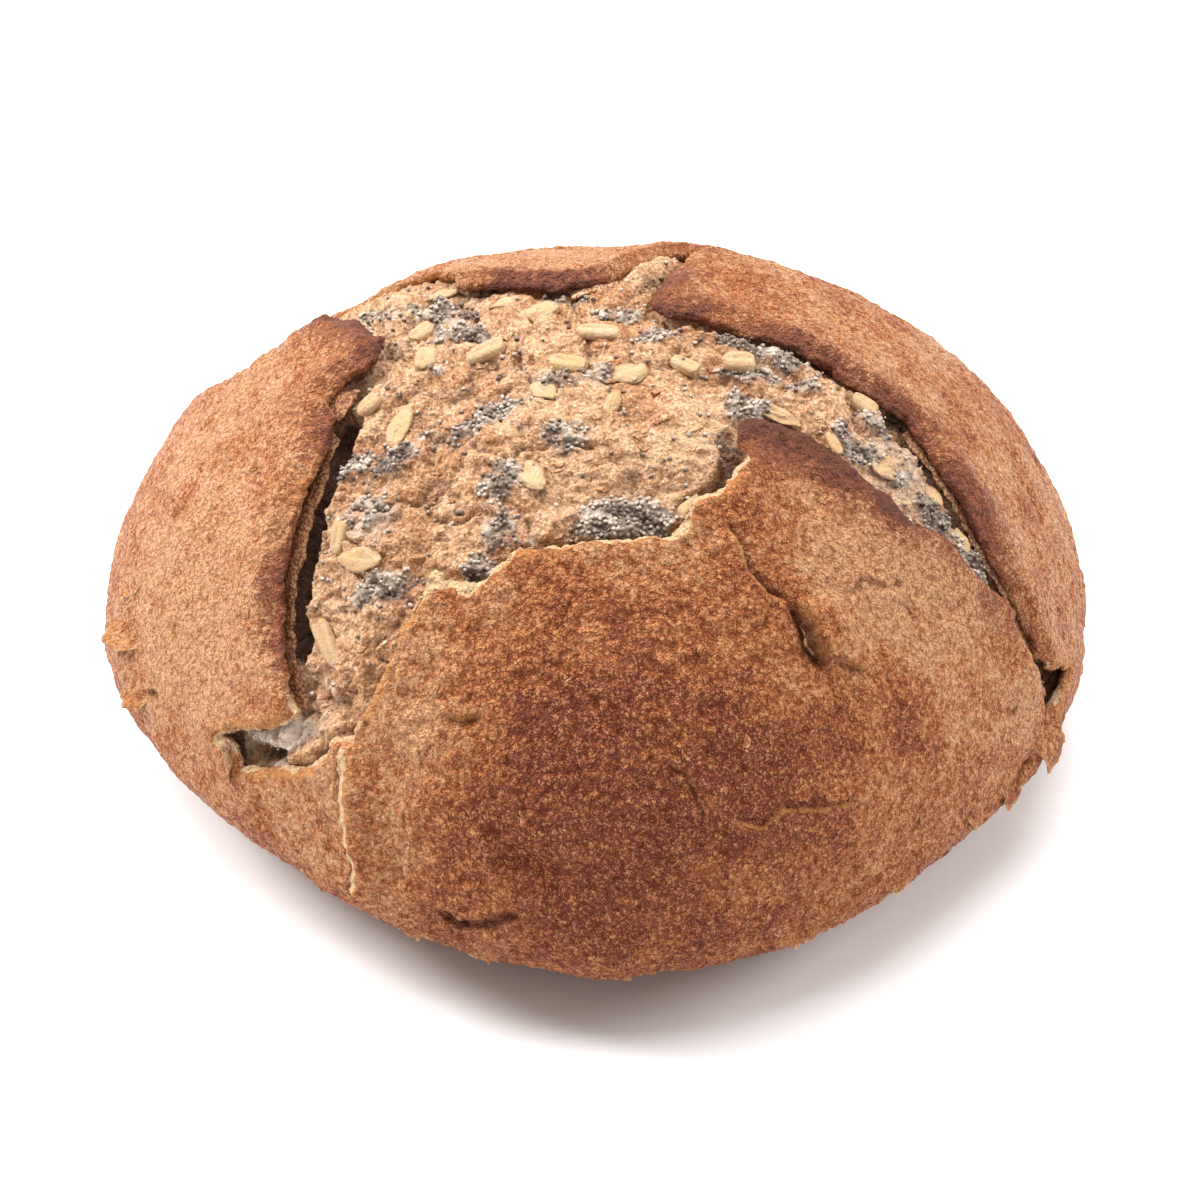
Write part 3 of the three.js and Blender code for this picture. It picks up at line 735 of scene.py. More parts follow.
class Dough:
    """Height and looks of the inner dough at many places of the skin."""

    def __init__(self, skin, uv, thickness):
        place, _ = skin.at(uv)
        self.place = place
        edges = TornEdges(uv, place)
        self.outside = edges.outside
        shaken = uv + wobble(place, 9, 141) * 2.2 + wobble(place, 3.0, 145) * 1.3
        in_hole = bell(line_distance(uv, HOLE_FLOOR)[0], 8)
        seeded = ovals(shaken, POPPY_BEDS)
        seeded *= np.clip(1.1 + 1.6 * layered(place, 3.6, 183, 2), 0.15, 1)
        folds = layered(place, 13, 111, 3)
        crease = 1 - np.abs(layered(place + 3 * wobble(place, 15, 121)[:, [0, 1, 0]], 11, 116, 2)) * 5
        crease = np.clip(crease, 0, 1) ** 2
        layers = [layered(place * (1, 1.5, 1) + 20 * k, 8.5 - 2 * k, 131 + 10 * k, 4, 0.62)
                  for k in range(3)]
        ledge = sum(smooth(0.0, 0.05, layer) for layer in layers) / 3
        flaky = np.max([bell(layer - 0.035, 0.06) for layer in layers], axis=0)
        crumb, _ = grains(place, 2.6, 151)
        fine, _ = grains(place, 1.2, 161)
        calm = patch(uv, *CALM_DOUGH)
        rough = 1 - 0.55 * calm
        height = -3.0 + marks(uv, DOUGH_MARKS) + marks(uv, HOLE_MARKS) + 0.4 * in_hole
        height += 1.2 * folds + rough * (1.9 * (ledge - 0.4) - 1.3 * crease * (1 - in_hole))
        height += (rough * (0.42 * (0.55 - crumb) + 0.30 * (0.5 - fine))
                   + 0.30 * rough * layered(place, 1.5, 171, 3))
        height += 0.7 * layered(place, 6.0, 175, 2) * (1 - 0.6 * calm)
        height += seeded * (0.9 + 1.3 * noise(place, 3.4, 181))
        clefts = np.clip(1 - np.abs(layered(place * (1, 1, 0.5), 7, 191, 3)) * 9, 0, 1) * in_hole
        height -= 2.2 * clefts
        height -= edges.gap * (0.9 + 0.25 * noise(place, 6, 195)) * (1 - 0.9 * in_hole)
        covered = -thickness - 0.6 + 0.55 * layered(place, 34, 31, 2) + np.minimum(marks(uv, CRUST_MARKS), 0)
        under = smooth(2.5, 6.0, self.outside)
        height = height * (1 - under) + covered * under
        flat = np.clip((skin.to_flat - from_top(uv)) / 12, 0, 1)
        self.height = height * flat - (thickness + 0.6) * (1 - flat)
        cakes = smooth(0.10, 0.30, layered(place, 5.5, 187, 2))
        self.parts = dict(cakes=cakes, seeded=seeded, crease=crease, flaky=flaky, in_hole=in_hole,
                          clefts=clefts, calm=calm)
        self.gap = edges.gap
        self.uv = uv

    def looks(self):
        p = self.parts
        crease = 0.75 * p["crease"] * (1 - p["calm"])
        # Painted shade: the dough is darkened in the crevices beside the crust, in creases, in the clefts
        # and in the cave of the hole.
        crevice_shade = np.maximum(np.maximum(smooth(1.5, 5.5, self.gap), crease) * (1 - p["in_hole"]), p["clefts"])
        crevice_shade = np.maximum(crevice_shade, smooth(-1.0, -3.5, marks(self.uv, HOLE_MARKS)))
        brown = smooth(-0.20, 0.45, layered(self.place, 12, 201, 3))
        brown += 0.6 * p["flaky"] * (1 - 0.6 * p["calm"])
        scorched = smooth(-0.3, 0.4, layered(self.place, 8, 211, 3))
        for spot, reach in BROWNED:
            brown = np.maximum(brown, 0.8 * patch(self.uv, spot, reach) * scorched)
        dusty = 0.35 * layered(self.place, 15, 221, 3)
        for spot, reach, strength in DUSTED:
            dusty = np.maximum(dusty, strength * patch(self.uv, spot, reach))
        lumps = {key: mark for key, mark in HOLE_MARKS.items() if key.startswith("lump")}
        lumps = np.clip(0.5 * marks(self.uv, lumps), 0, 1)
        flour = np.clip(dusty + 0.35 * p["in_hole"], 0, 1) * (1 - 0.8 * crevice_shade) * (1 - 0.8 * lumps)
        beds = np.clip(p["seeded"] + 0.035, 0, 1) * (1 - p["in_hole"])
        caked = 0.25 * flour ** 2 + 0.35 * p["seeded"] * p["cakes"]
        bare = self.outside < -0.3
        return {
            "flour": flour,
            "brown": np.clip(np.maximum(brown * (1 - p["in_hole"]), 0.5 * lumps), 0, 1),
            "crevice_shade": np.clip(crevice_shade * (1 - 0.45 * p["in_hole"]), 0, 1),
            "seeded": p["seeded"] * (1 - p["in_hole"]),
            "poppy_bed": np.where(bare, beds, 0) * (self.gap < 2.5),
            "flour_bed": np.where(bare, caked, 0) * (self.gap < 3.5),
        }


# ---- Meshes from places on the skin --------------------------------------


def sphere_grid(steps):
    """An even grid of directions: an icosahedron whose faces are cut into many."""
    gold = (1 + math.sqrt(5)) / 2
    corners = np.array([
        (-1, gold, 0), (1, gold, 0), (-1, -gold, 0), (1, -gold, 0), (0, -1, gold), (0, 1, gold),
        (0, -1, -gold), (0, 1, -gold), (gold, 0, -1), (gold, 0, 1), (-gold, 0, -1), (-gold, 0, 1)])
    sides = [(0, 11, 5), (0, 5, 1), (0, 1, 7), (0, 7, 10), (0, 10, 11), (1, 5, 9), (5, 11, 4), (11, 10, 2),
             (10, 7, 6), (7, 1, 8), (3, 9, 4), (3, 4, 2), (3, 2, 6), (3, 6, 8), (3, 8, 9), (4, 9, 5),
             (2, 4, 11), (6, 2, 10), (8, 6, 7), (9, 8, 1)]
    i, j = np.meshgrid(np.arange(steps + 1), np.arange(steps + 1), indexing="ij")
    used = i + j <= steps
    number = np.full((steps + 2, steps + 2), -1)
    number[:-1, :-1][used] = np.arange(used.sum())
    weights = np.stack([steps - i - j, i, j], -1)[used] / steps
    up = (i + j < steps)
    a, b, c = number[:-1, :-1][up], number[1:, :-1][up], number[:-1, 1:][up]
    down = (i + j < steps - 1)
    d, e, f = number[1:, :-1][down], number[1:, 1:][down], number[:-1, 1:][down]
    cell = np.concatenate([np.stack([a, b, c], 1), np.stack([d, e, f], 1)])
    points = np.concatenate([weights @ corners[list(side)] for side in sides])
    points /= np.linalg.norm(points, axis=1, keepdims=True)
    faces = np.concatenate([cell + k * len(weights) for k in range(len(sides))])
    _, first, same = np.unique(np.round(points * 1e6).astype(np.int64), axis=0, return_index=True,
                               return_inverse=True)
    return points[first], same.reshape(-1)[faces]


def split(uv, faces, level, snap=0.05, limit=np.inf):
    """Cuts faces where level changes sign: places, faces, the side of each and the face it came from."""
    sign = np.where(np.abs(level) < snap, 0, np.sign(level)).astype(int)
    nxt = np.roll(faces, -1, axis=1)
    crossing = (sign[faces] * sign[nxt] < 0) & (np.abs(level[faces] - level[nxt]) < limit)
    count = crossing.sum(axis=1)
    kept, one, two = (np.flatnonzero(choice)
                      for choice in ((count == 0) | (count == 3), count == 1, count == 2))
    whole, once, twice = faces[kept], faces[one], faces[two]

    def turned(these, first):
        rows = np.arange(len(these))
        return np.stack([these[rows, (first + k) % 3] for k in range(3)], 1)

    once = turned(once, (np.argmax(crossing[one], axis=1) + 2) % 3)
    twice = turned(twice, (np.argmin(crossing[two], axis=1) + 2) % 3)
    cuts = np.concatenate([once[:, [1, 2]], twice[:, [0, 1]], twice[:, [2, 0]]])
    total = len(uv)
    low, high = cuts.min(axis=1), cuts.max(axis=1)
    keys, same = np.unique(low.astype(np.int64) * total + high, return_inverse=True)
    a, b = keys // total, keys % total
    t = (level[a] / (level[a] - level[b]))[:, None]
    new = (total + same).reshape(-1)
    n0, n1, n2 = np.split(new, [len(once), len(once) + len(twice)])
    parts = [
        whole,
        np.stack([once[:, 0], once[:, 1], n0], 1), np.stack([once[:, 0], n0, once[:, 2]], 1),
        np.stack([twice[:, 0], n1, n2], 1),
        np.stack([n1, twice[:, 1], twice[:, 2]], 1), np.stack([n1, twice[:, 2], n2], 1),
    ]
    all_uv = np.concatenate([uv, uv[a] + t * (uv[b] - uv[a])])
    all_level = np.concatenate([level, np.zeros(len(a))])
    faces = np.concatenate(parts)
    side = np.where(all_level[faces].sum(axis=1) >= 0, 1, -1)
    return all_uv, faces, side, np.concatenate([kept, one, one, two, two, two])


def compact(faces, *fields):
    """Leaves out the places that no face uses."""
    used, faces = np.unique(faces, return_inverse=True)
    return [faces.reshape(-1, 3)] + [field[used] for field in fields]


def rim_of(faces, total):
    """The sides that only one face has, each pointing the way round that its face does."""
    a = faces.reshape(-1).astype(np.int64)
    b = np.roll(faces, -1, axis=1).reshape(-1).astype(np.int64)
    lonely = ~np.isin(a * total + b, b * total + a)
    return np.stack([a[lonely], b[lonely]], 1)


def wall(a, b, c, d):
    """Faces of a wall under a rim whose sides run from a to b above, and from c to d below."""
    return [np.stack([b, a, c], 1), np.stack([b, c, d], 1)]


def fill_between(plane, rim, inner_points):
    """Faces that fill the inside of a rim with few points; the rim keeps every one of its own."""
    points = np.concatenate([plane, inner_points])
    used = np.concatenate([np.unique(rim), np.arange(len(plane), len(points))])
    number = np.full(len(points), -1)
    number[used] = np.arange(len(used))
    edges = number[rim]
    made = delaunay_2d_cdt([Vector(p) for p in points[used].tolist()], edges.tolist(), [], 0, 1e-9)
    origin = np.array([ids[0] if ids else -1 for ids in made[3]])
    faces = origin[np.array(made[2])]
    faces = faces[(faces >= 0).all(axis=1)]
    p, q, r = (points[used][faces[:, k]] for k in range(3))
    area = (q[:, 0] - p[:, 0]) * (r[:, 1] - p[:, 1]) - (q[:, 1] - p[:, 1]) * (r[:, 0] - p[:, 0])
    faces[area < 0] = faces[area < 0][:, ::-1]
    n = len(used)
    a = faces.astype(np.int64)
    b = np.roll(a, -1, axis=1)
    ahead, back = (a * n + b).reshape(-1), (b * n + a).reshape(-1)
    order = np.argsort(ahead)
    slot = np.minimum(np.searchsorted(ahead[order], back), len(order) - 1)
    found = ahead[order][slot] == back
    neighbour = np.where(found, order[slot] // 3, -1).reshape(-1, 3)
    fence = edges[:, 0].astype(np.int64) * n + edges[:, 1]
    wrong_way = edges[:, 1].astype(np.int64) * n + edges[:, 0]
    blocked = np.isin(ahead, np.concatenate([fence, wrong_way])).reshape(-1, 3)
    inside_one = np.isin(ahead, fence).reshape(-1, 3).any(axis=1)
    passable = (neighbour >= 0) & ~blocked
    while True:
        grown = inside_one | (passable & inside_one[neighbour]).any(axis=1)
        if (grown == inside_one).all():
            break
        inside_one = grown
    return used[faces[inside_one]]


def hex_points(low, high, spacing):
    """Even points over a rectangle, every second row half a step along."""
    rows = np.arange(low[1], high[1], spacing * math.sqrt(3) / 2)
    columns = np.arange(low[0], high[0], spacing)
    u, v = np.meshgrid(columns, rows)
    u = u + (np.arange(len(rows)) % 2)[:, None] * spacing / 2
    return np.stack([u.reshape(-1), v.reshape(-1)], 1)


def nearest_squared(points, others, block=500):
    """The square of each point's distance to the nearest of some others."""
    return np.concatenate([
        ((points[start:start + block, None, :] - others[None, :, :]) ** 2).sum(axis=2).min(axis=1)
        for start in range(0, max(len(points), 1), block)])


def farther_than(points, others, distance):
    """Which points lie farther than a distance from all the others."""
    return nearest_squared(points, others) > distance ** 2


def joined(parts):
    """One mesh from several, each with its points, its faces and what its material reads."""
    points, faces, looks = zip(*parts)
    starts = np.cumsum([0] + [len(each) for each in points[:-1]])
    return (np.concatenate(points), np.concatenate([each + start for each, start in zip(faces, starts)]),
            {key: np.concatenate([each[key] for each in looks]) for key in looks[0]})


def shell(skin, uv, faces, plane, thickness, name):
    """Closes a stretch of crust: its outer faces, a torn wall along its rim, and a plain inner face."""
    crust = Crust(skin, uv)
    rim = rim_of(faces, len(uv))
    along = uv[rim[:, 1]] - uv[rim[:, 0]]
    off = np.stack([along[:, 1], -along[:, 0]], 1)
    outward = np.zeros_like(uv)
    np.add.at(outward, rim[:, 0], off)
    np.add.at(outward, rim[:, 1], off)
    outward /= np.maximum(np.linalg.norm(outward, axis=1, keepdims=True), 1e-9)
    posts = np.unique(rim)
    torn = bell(crust.outside[posts], 0.4)
    depth = np.where(torn > 0.5, thickness * 0.62, thickness)
    place = crust.place[posts]
    rows, heights = [], []
    for step in (0.25, 0.5, 0.75):
        bulge = 0.35 * math.sin(math.pi * step) + 0.45 * noise(place + 40 * step, 1.6, 301)
        rows.append(uv[posts] + outward[posts] * (bulge * torn)[:, None])
        heights.append(crust.height[posts] - step * depth)
    rows.append(uv[posts])
    heights.append(crust.height[posts] - depth)
    flat_uv = plane(uv)
    low, high = flat_uv[posts].min(axis=0), flat_uv[posts].max(axis=0)
    fine = hex_points(low, high, 1.9)
    coarse = hex_points(low, high, 6.0)
    near_edge = Crust(skin, plane(fine), with_grain=False).outside < 9
    fine = fine[near_edge & farther_than(fine, flat_uv[posts], 0.9)]
    coarse = coarse[farther_than(coarse, flat_uv[posts], 3.0)]
    if len(fine):
        coarse = coarse[farther_than(coarse, fine, 3.0)]
    inner_flat = np.concatenate([fine, coarse])
    below = fill_between(flat_uv, rim, inner_flat)
    inner_uv = plane(inner_flat)
    inner_height = Crust(skin, inner_uv, with_grain=False).broad - thickness
    count, posts_count = len(uv), len(posts)
    number = np.full(count, -1)
    number[posts] = np.arange(posts_count)
    levels = [posts] + [count + k * posts_count + np.arange(posts_count) for k in range(4)]
    start, end = number[rim].T
    walls = []
    for upper, lower in zip(levels, levels[1:]):
        walls += wall(upper[start], upper[end], lower[start], lower[end])
    bottom = np.where(below < count, 0, count + 4 * posts_count + below - count)
    on_rim = below < count
    bottom[on_rim] = levels[-1][number[below[on_rim]]]
    all_faces = np.concatenate([faces] + walls + [bottom[:, ::-1]])
    points = np.concatenate([skin.out(uv, crust.height)] + [skin.out(r, h) for r, h in zip(rows, heights)]
                            + [skin.out(inner_uv, inner_height)])
    looks = crust.looks()
    bared = np.max([patch(uv[posts], spot, 1.3 * reach) for spot, reach, _ in BARED], axis=0)
    whole = 1 - smooth(0, 0.35, looks["burnt"][posts])
    on_wall = {"torn": torn * whole * (0.15 + 0.75 * bared), "amber": 0.9 * torn * whole * (1 - bared)}
    extra = len(inner_uv)
    for key, values in looks.items():
        side = np.tile(values[posts], 4)
        if key in on_wall:
            side = np.maximum(side, np.tile(on_wall[key], 4))
        looks[key] = np.concatenate([values, side, np.full(extra, 0.5)])
    seam = rim[(np.abs(crust.outside[rim]) > 0.5).any(axis=1)]
    return make_object(name, points, all_faces, looks, sharp=seam)


def make_object(name, points, faces, looks, sharp=None):
    """A mesh object at the origin; points come in millimetres."""
    mesh = bpy.data.meshes.new(name)
    mesh.vertices.add(len(points))
    mesh.vertices.foreach_set("co", (points * MM).astype(np.float32).reshape(-1))
    mesh.loops.add(len(faces) * 3)
    mesh.loops.foreach_set("vertex_index", faces.astype(np.int32).reshape(-1))
    mesh.polygons.add(len(faces))
    mesh.polygons.foreach_set("loop_start", np.arange(0, len(faces) * 3, 3, dtype=np.int32))
    mesh.update(calc_edges=True)
    mesh.shade_smooth()
    for key, values in looks.items():
        mesh.attributes.new(key, "FLOAT", "POINT").data.foreach_set("value", values.astype(np.float32))
    if sharp is not None and len(sharp):
        ends = np.empty(len(mesh.edges) * 2, np.int32)
        mesh.edges.foreach_get("vertices", ends)
        ends = np.sort(ends.reshape(-1, 2).astype(np.int64), axis=1)
        wanted = np.sort(sharp.astype(np.int64), axis=1)
        total = len(points)
        is_sharp = np.isin(ends[:, 0] * total + ends[:, 1], wanted[:, 0] * total + wanted[:, 1])
        mesh.attributes.new("sharp_edge", "BOOLEAN", "EDGE").data.foreach_set("value", is_sharp)
    if mesh.validate():
        raise RuntimeError(f"{name} had broken faces")
    piece = bpy.data.objects.new(name, mesh)
    bpy.context.collection.objects.link(piece)
    return piece


def settle(piece, material):
    """Gives a finished piece its material and its place in the frame."""
    piece.data.materials.clear()
    piece.data.materials.append(material)
    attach(piece, "root")
    return piece


# ---- Strewing ------------------------------------------------------------


class Tree:
    """Short words for building a node tree."""

    def __init__(self, tree):
        self.tree = tree

    def add(self, kind, inputs=None, **settings):
        node = self.tree.nodes.new(kind)
        for key, value in settings.items():
            setattr(node, key, value)
        for key, value in (inputs or {}).items():
            if isinstance(value, bpy.types.NodeSocket):
                self.tree.links.new(value, node.inputs[key])
            else:
                node.inputs[key].default_value = value
        return node

    def math(self, operation, a, b=0.0, clamp=False):
        return self.add("ShaderNodeMath", {0: a, 1: b}, operation=operation, use_clamp=clamp).outputs[0]

    def plus(self, a, b):
        return self.math("ADD", a, b)

    def times(self, a, b, clamp=False):
        return self.math("MULTIPLY", a, b, clamp)

    def mix(self, part, a, b, blend="MIX"):
        """Mixes two colours; each is a socket or three linear values."""
        a, b = (c if isinstance(c, bpy.types.NodeSocket) else (*c, 1.0) for c in (a, b))
        node = self.add("ShaderNodeMix", {0: part, 6: a, 7: b}, data_type="RGBA", blend_type=blend)
        return node.outputs[2]

    def value(self, name):
        """An attribute of the mesh, from 0 to 1."""
        return self.add("ShaderNodeAttribute", attribute_name=name).outputs["Fac"]

    def rise(self, x, low, high, to_low=0.0, to_high=1.0):
        return self.add("ShaderNodeMapRange", {
            "Value": x, "From Min": low, "From Max": high, "To Min": to_low, "To Max": to_high},
            interpolation_type="SMOOTHSTEP").outputs[0]

    def noise(self, place, size_mm, detail=2.0, distortion=0.0):
        return self.add("ShaderNodeTexNoise", {
            "Vector": place, "Scale": 1000.0 / size_mm, "Detail": detail, "Roughness": 0.6,
            "Distortion": distortion}).outputs[0]

    def scaled(self, vector, scale):
        return self.add("ShaderNodeVectorMath", {0: vector, "Scale": scale}, operation="SCALE").outputs[0]

    def stray(self, place, size_mm, amount):
        """Noise that moves a mask up or down by as much as an amount."""
        return self.rise(self.noise(place, size_mm, 3.0), 0.3, 0.7, -amount, amount)


def new_group(name, kind, inputs, outputs):
    """A node group with its sockets, as the words to fill it with and what it is given."""
    tree = bpy.data.node_groups.new(name, kind)
    for way, sockets in (("INPUT", inputs), ("OUTPUT", outputs)):
        for socket, what in sockets.items():
            tree.interface.new_socket(socket, in_out=way, socket_type="NodeSocket" + what)
    t = Tree(tree)
    return t, t.add("NodeGroupInput").outputs


def strewing_tree():
    """Strews copies of one grain over a bed, where an attribute of the bed says how thickly."""
    t, given = new_group("Strew Grains", "GeometryNodeTree", {
        "Bed": "Object", "Grain": "Object", "Thickness Attribute": "String", "Per Square Metre": "Float",
        "Spacing": "Float", "Smallest": "Float", "Largest": "Float", "Raise": "Float",
        "Raise Spread": "Float", "Tilt": "Float", "Seed": "Int", "Material": "Material"},
        {"Geometry": "Geometry"})

    def random(salt, kind, **span):
        seed = t.plus(given["Seed"], salt)
        node = t.add("FunctionNodeRandomValue", {**span, "Seed": seed}, data_type=kind)
        return node.outputs[1 if kind == "FLOAT" else 0]

    bed = t.add("GeometryNodeObjectInfo", {"Object": given["Bed"]}, transform_space="ORIGINAL")
    grain = t.add("GeometryNodeObjectInfo", {"Object": given["Grain"]}, transform_space="ORIGINAL")
    sown = t.add("GeometryNodeInputNamedAttribute", {"Name": given["Thickness Attribute"]},
                 data_type="FLOAT")
    spots = t.add("GeometryNodeDistributePointsOnFaces", {
        "Mesh": bed.outputs["Geometry"], "Distance Min": given["Spacing"],
        "Density Max": given["Per Square Metre"], "Density Factor": sown.outputs["Attribute"],
        "Seed": given["Seed"]}, distribute_method="POISSON")
    spread = given["Raise Spread"]
    raised = t.plus(given["Raise"], random(3.0, "FLOAT", Min=t.times(spread, -1.0), Max=spread))
    moved = t.add("GeometryNodeSetPosition", {
        "Geometry": spots.outputs["Points"], "Offset": t.scaled(spots.outputs["Normal"], raised)})
    tilt = t.add("ShaderNodeCombineXYZ", {"X": given["Tilt"], "Y": given["Tilt"], "Z": math.pi}).outputs[0]
    turned = t.add("FunctionNodeRotateRotation", {
        "Rotation": spots.outputs["Rotation"],
        "Rotate By": random(1.0, "FLOAT_VECTOR", Min=t.scaled(tilt, -1.0), Max=tilt)},
        rotation_space="LOCAL")
    smallest, largest = (t.add("ShaderNodeCombineXYZ", {axis: given[name] for axis in "XYZ"}).outputs[0]
                         for name in ("Smallest", "Largest"))
    placed = t.add("GeometryNodeInstanceOnPoints", {
        "Points": moved.outputs["Geometry"], "Instance": grain.outputs["Geometry"],
        "Rotation": turned.outputs[0], "Scale": random(2.0, "FLOAT_VECTOR", Min=smallest, Max=largest)})
    tinted = t.add("GeometryNodeStoreNamedAttribute", {
        "Geometry": placed.outputs["Instances"], "Name": "tint", "Value": random(4.0, "FLOAT")},
        data_type="FLOAT", domain="INSTANCE")
    real = t.add("GeometryNodeRealizeInstances", {"Geometry": tinted.outputs["Geometry"]})
    facing = t.add("ShaderNodeSeparateXYZ", {0: t.add("GeometryNodeInputNormal").outputs[0]})
    topped = t.add("GeometryNodeStoreNamedAttribute", {
        "Geometry": real.outputs["Geometry"], "Name": "top", "Value": facing.outputs["Z"]},
        data_type="FLOAT", domain="POINT")
    done = t.add("GeometryNodeSetMaterial", {
        "Geometry": topped.outputs["Geometry"], "Material": given["Material"]})
    t.add("NodeGroupOutput", {"Geometry": done.outputs["Geometry"]})
    return t.tree


def strew(name, points, faces, material, wanted):
    """Strews a small closed grain over the bare dough, as one plain mesh; wanted: the tree's inputs."""
    grain = make_object(name + "_grain", points, flip_outward(points, np.array(faces)), {})
    wanted = {"Bed": bpy.data.objects["dough"], "Grain": grain, "Material": material, **wanted}
    piece = bpy.data.objects.new(name, bpy.data.meshes.new(name))
    bpy.context.collection.objects.link(piece)
    modifier = piece.modifiers.new("Strew", "NODES")
    modifier.node_group = bpy.data.node_groups.get("Strew Grains") or strewing_tree()
    for item in modifier.node_group.interface.items_tree:
        if item.in_out == "INPUT":
            modifier[item.identifier] = wanted[item.name]
    bpy.context.view_layer.update()
    seen = piece.evaluated_get(bpy.context.evaluated_depsgraph_get())
    mesh = bpy.data.meshes.new_from_object(seen)
    piece.modifiers.remove(modifier)
    piece.data = mesh
    mesh.name = name
    mesh.shade_smooth()
    if not len(mesh.polygons):
        raise RuntimeError(f"{name} came out empty")
    bpy.data.objects.remove(grain)
    return settle(piece, material)


def ball(rings, sides):
    """Directions and faces of a small closed ball."""
    points = [(0, 0, 1)]
    for ring in range(1, rings):
        lean = math.pi * ring / rings
        for side in range(sides):
            turn = 2 * math.pi * (side + 0.5 * (ring % 2)) / sides
            points.append((math.sin(lean) * math.cos(turn), math.sin(lean) * math.sin(turn), math.cos(lean)))
    points.append((0, 0, -1))
    faces = []
    for side in range(sides):
        after = (side + 1) % sides
        faces.append((0, 1 + side, 1 + after))
        for ring in range(rings - 2):
            upper, lower = 1 + ring * sides, 1 + (ring + 1) * sides
            if ring % 2 == 0:
                faces += [(upper + side, lower + side, upper + after),
                          (upper + after, lower + side, lower + after)]
            else:
                faces += [(upper + side, lower + side, lower + after),
                          (upper + side, lower + after, upper + after)]
        last = 1 + (rings - 2) * sides
        faces.append((last + side, len(points) - 1, last + after))
    return np.array(points), faces


# ---- The crust and the dough ---------------------------------------------


def seam_angle(seam, uv):
    """The direction of a seam, as far down the skin as each place lies."""
    points = np.array(seam, float)
    angle = np.unwrap(np.arctan2(points[:, 1], points[:, 0]))
    return np.interp(from_top(uv), from_top(points), angle)


def past_seam(seam, uv):
    """How far round from a seam each place is, as an angle from -pi to pi."""
    turn = np.arctan2(uv[:, 1], uv[:, 0]) - seam_angle(seam, uv)
    return (turn + math.pi) % (2 * math.pi) - math.pi


def from_below(skin, uv):
    """Places seen from underneath, measured from the middle of the flat spot; the same both ways."""
    way = from_top(uv)
    scale = (skin.to_centre - way) / np.maximum(way, 1e-6)
    return np.stack([uv[:, 0] * scale, -uv[:, 1] * scale], 1)


def crust_stretches(skin, shape):
    """The crust's outer faces, cut at the torn edges, at the seams and round the underside."""
    directions, faces = sphere_grid(shape.crust_steps)
    lean = np.arccos(np.clip(directions[:, 2], -1, 1)) / math.pi
    angle = np.arctan2(directions[:, 1], directions[:, 0])
    uv = (skin.to_centre * lean ** 1.25)[:, None] * np.stack([np.cos(angle), np.sin(angle)], 1)
    uv, faces, side, _ = split(uv, faces, TornEdges(uv, skin.at(uv)[0]).outside)
    faces, uv = compact(faces[side > 0], uv)
    angle = np.arctan2(uv[:, 1], uv[:, 0])
    rim = UNDERSIDE_SKIN + 2.2 * np.sin(3 * angle + 1) + 1.4 * np.sin(7 * angle)
    uv, faces, side, _ = split(uv, faces, from_top(uv) - rim)
    sides = [side]
    for seam in SEAMS.values():
        level = past_seam(seam, uv) * from_top(uv)
        uv, faces, side, source = split(uv, faces, level, limit=10)
        sides = [earlier[source] for earlier in sides] + [side]
    middle = uv[faces].mean(axis=1)
    turns = []
    for seam, side in zip(SEAMS.values(), sides[1:]):
        turn = past_seam(seam, middle)
        past = np.where(np.abs(turn) < 1, side > 0, turn > 0)
        turns.append(np.where(past, np.maximum(turn, 0), 9.0))
    sector = np.argmin(turns, axis=0)
    under = sides[0] > 0
    yield "crust_underside", lambda places: from_below(skin, places), *compact(faces[under], uv)
    for number, seam in enumerate(SEAMS):
        name = "crust_" + seam.split("_to_")[0]
        yield name, np.copy, *compact(faces[~under & (sector == number)], uv)


def lattice(low, high, spacing):
    """A lattice of even triangles over a rectangle."""
    points = hex_points(low, high, spacing)
    columns = len(np.arange(low[0], high[0], spacing))
    rows = len(points) // columns
    number = np.arange(rows * columns).reshape(rows, columns)
    a, b, c, d = number[:-1, :-1], number[:-1, 1:], number[1:, :-1], number[1:, 1:]
    even = np.stack([a, b, c, b, d, c], -1)
    odd = np.stack([a, d, c, a, b, d], -1)
    faces = np.where((np.arange(rows - 1) % 2 == 0)[:, None, None], even, odd)
    return points, faces.reshape(-1, 3)


def dough_body(skin, shape, thickness):
    """The whole dough, closed: fine where it lies bare, with few points where the crust covers it."""
    low, high = np.min(OPENING, axis=0) - 10, np.max(OPENING, axis=0) + 10
    uv, faces = lattice(low, high, shape.dough_face / MM)
    level = DOUGH_MARGIN - TornEdges(uv, skin.at(uv)[0]).outside
    uv, faces, side, _ = split(uv, faces, level)
    faces, uv = compact(faces[side > 0], uv)
    rim = rim_of(faces, len(uv))
    turn = np.linspace(0, 2 * math.pi, 72, endpoint=False)
    ring = skin.to_centre * np.stack([np.cos(turn), np.sin(turn)], 1)
    ring_numbers = len(uv) + np.arange(len(ring))
    sheet = np.concatenate([uv, ring])
    fences = np.concatenate([rim[:, ::-1], np.stack([ring_numbers, np.roll(ring_numbers, -1)], 1)])
    inner = hex_points([-skin.to_centre] * 2, [skin.to_centre] * 2, 5.0)
    inner = inner[from_top(inner) < skin.to_centre - 3]
    inner = inner[farther_than(inner, uv[np.unique(rim)], 2.5)]
    rest = fill_between(sheet, fences, inner)
    uv = np.concatenate([sheet, inner])
    faces = np.concatenate([faces, rest])
    faces[np.isin(faces, ring_numbers)] = ring_numbers[0]
    whole = (faces != np.roll(faces, -1, axis=1)).all(axis=1)
    faces, uv = compact(faces[whole], uv)
    dough = Dough(skin, uv, thickness)
    return skin.out(uv, dough.height), faces, dough.looks()


def near_dough(skin, places, thickness):
    """How high the dough stands around each place."""
    around = [(0, 0), (1.5, 0), (-1.5, 0), (0, 1.5), (0, -1.5)]
    heights = [Dough(skin, places + np.array(step, float), thickness).height for step in around]
    return np.mean(heights, axis=0)


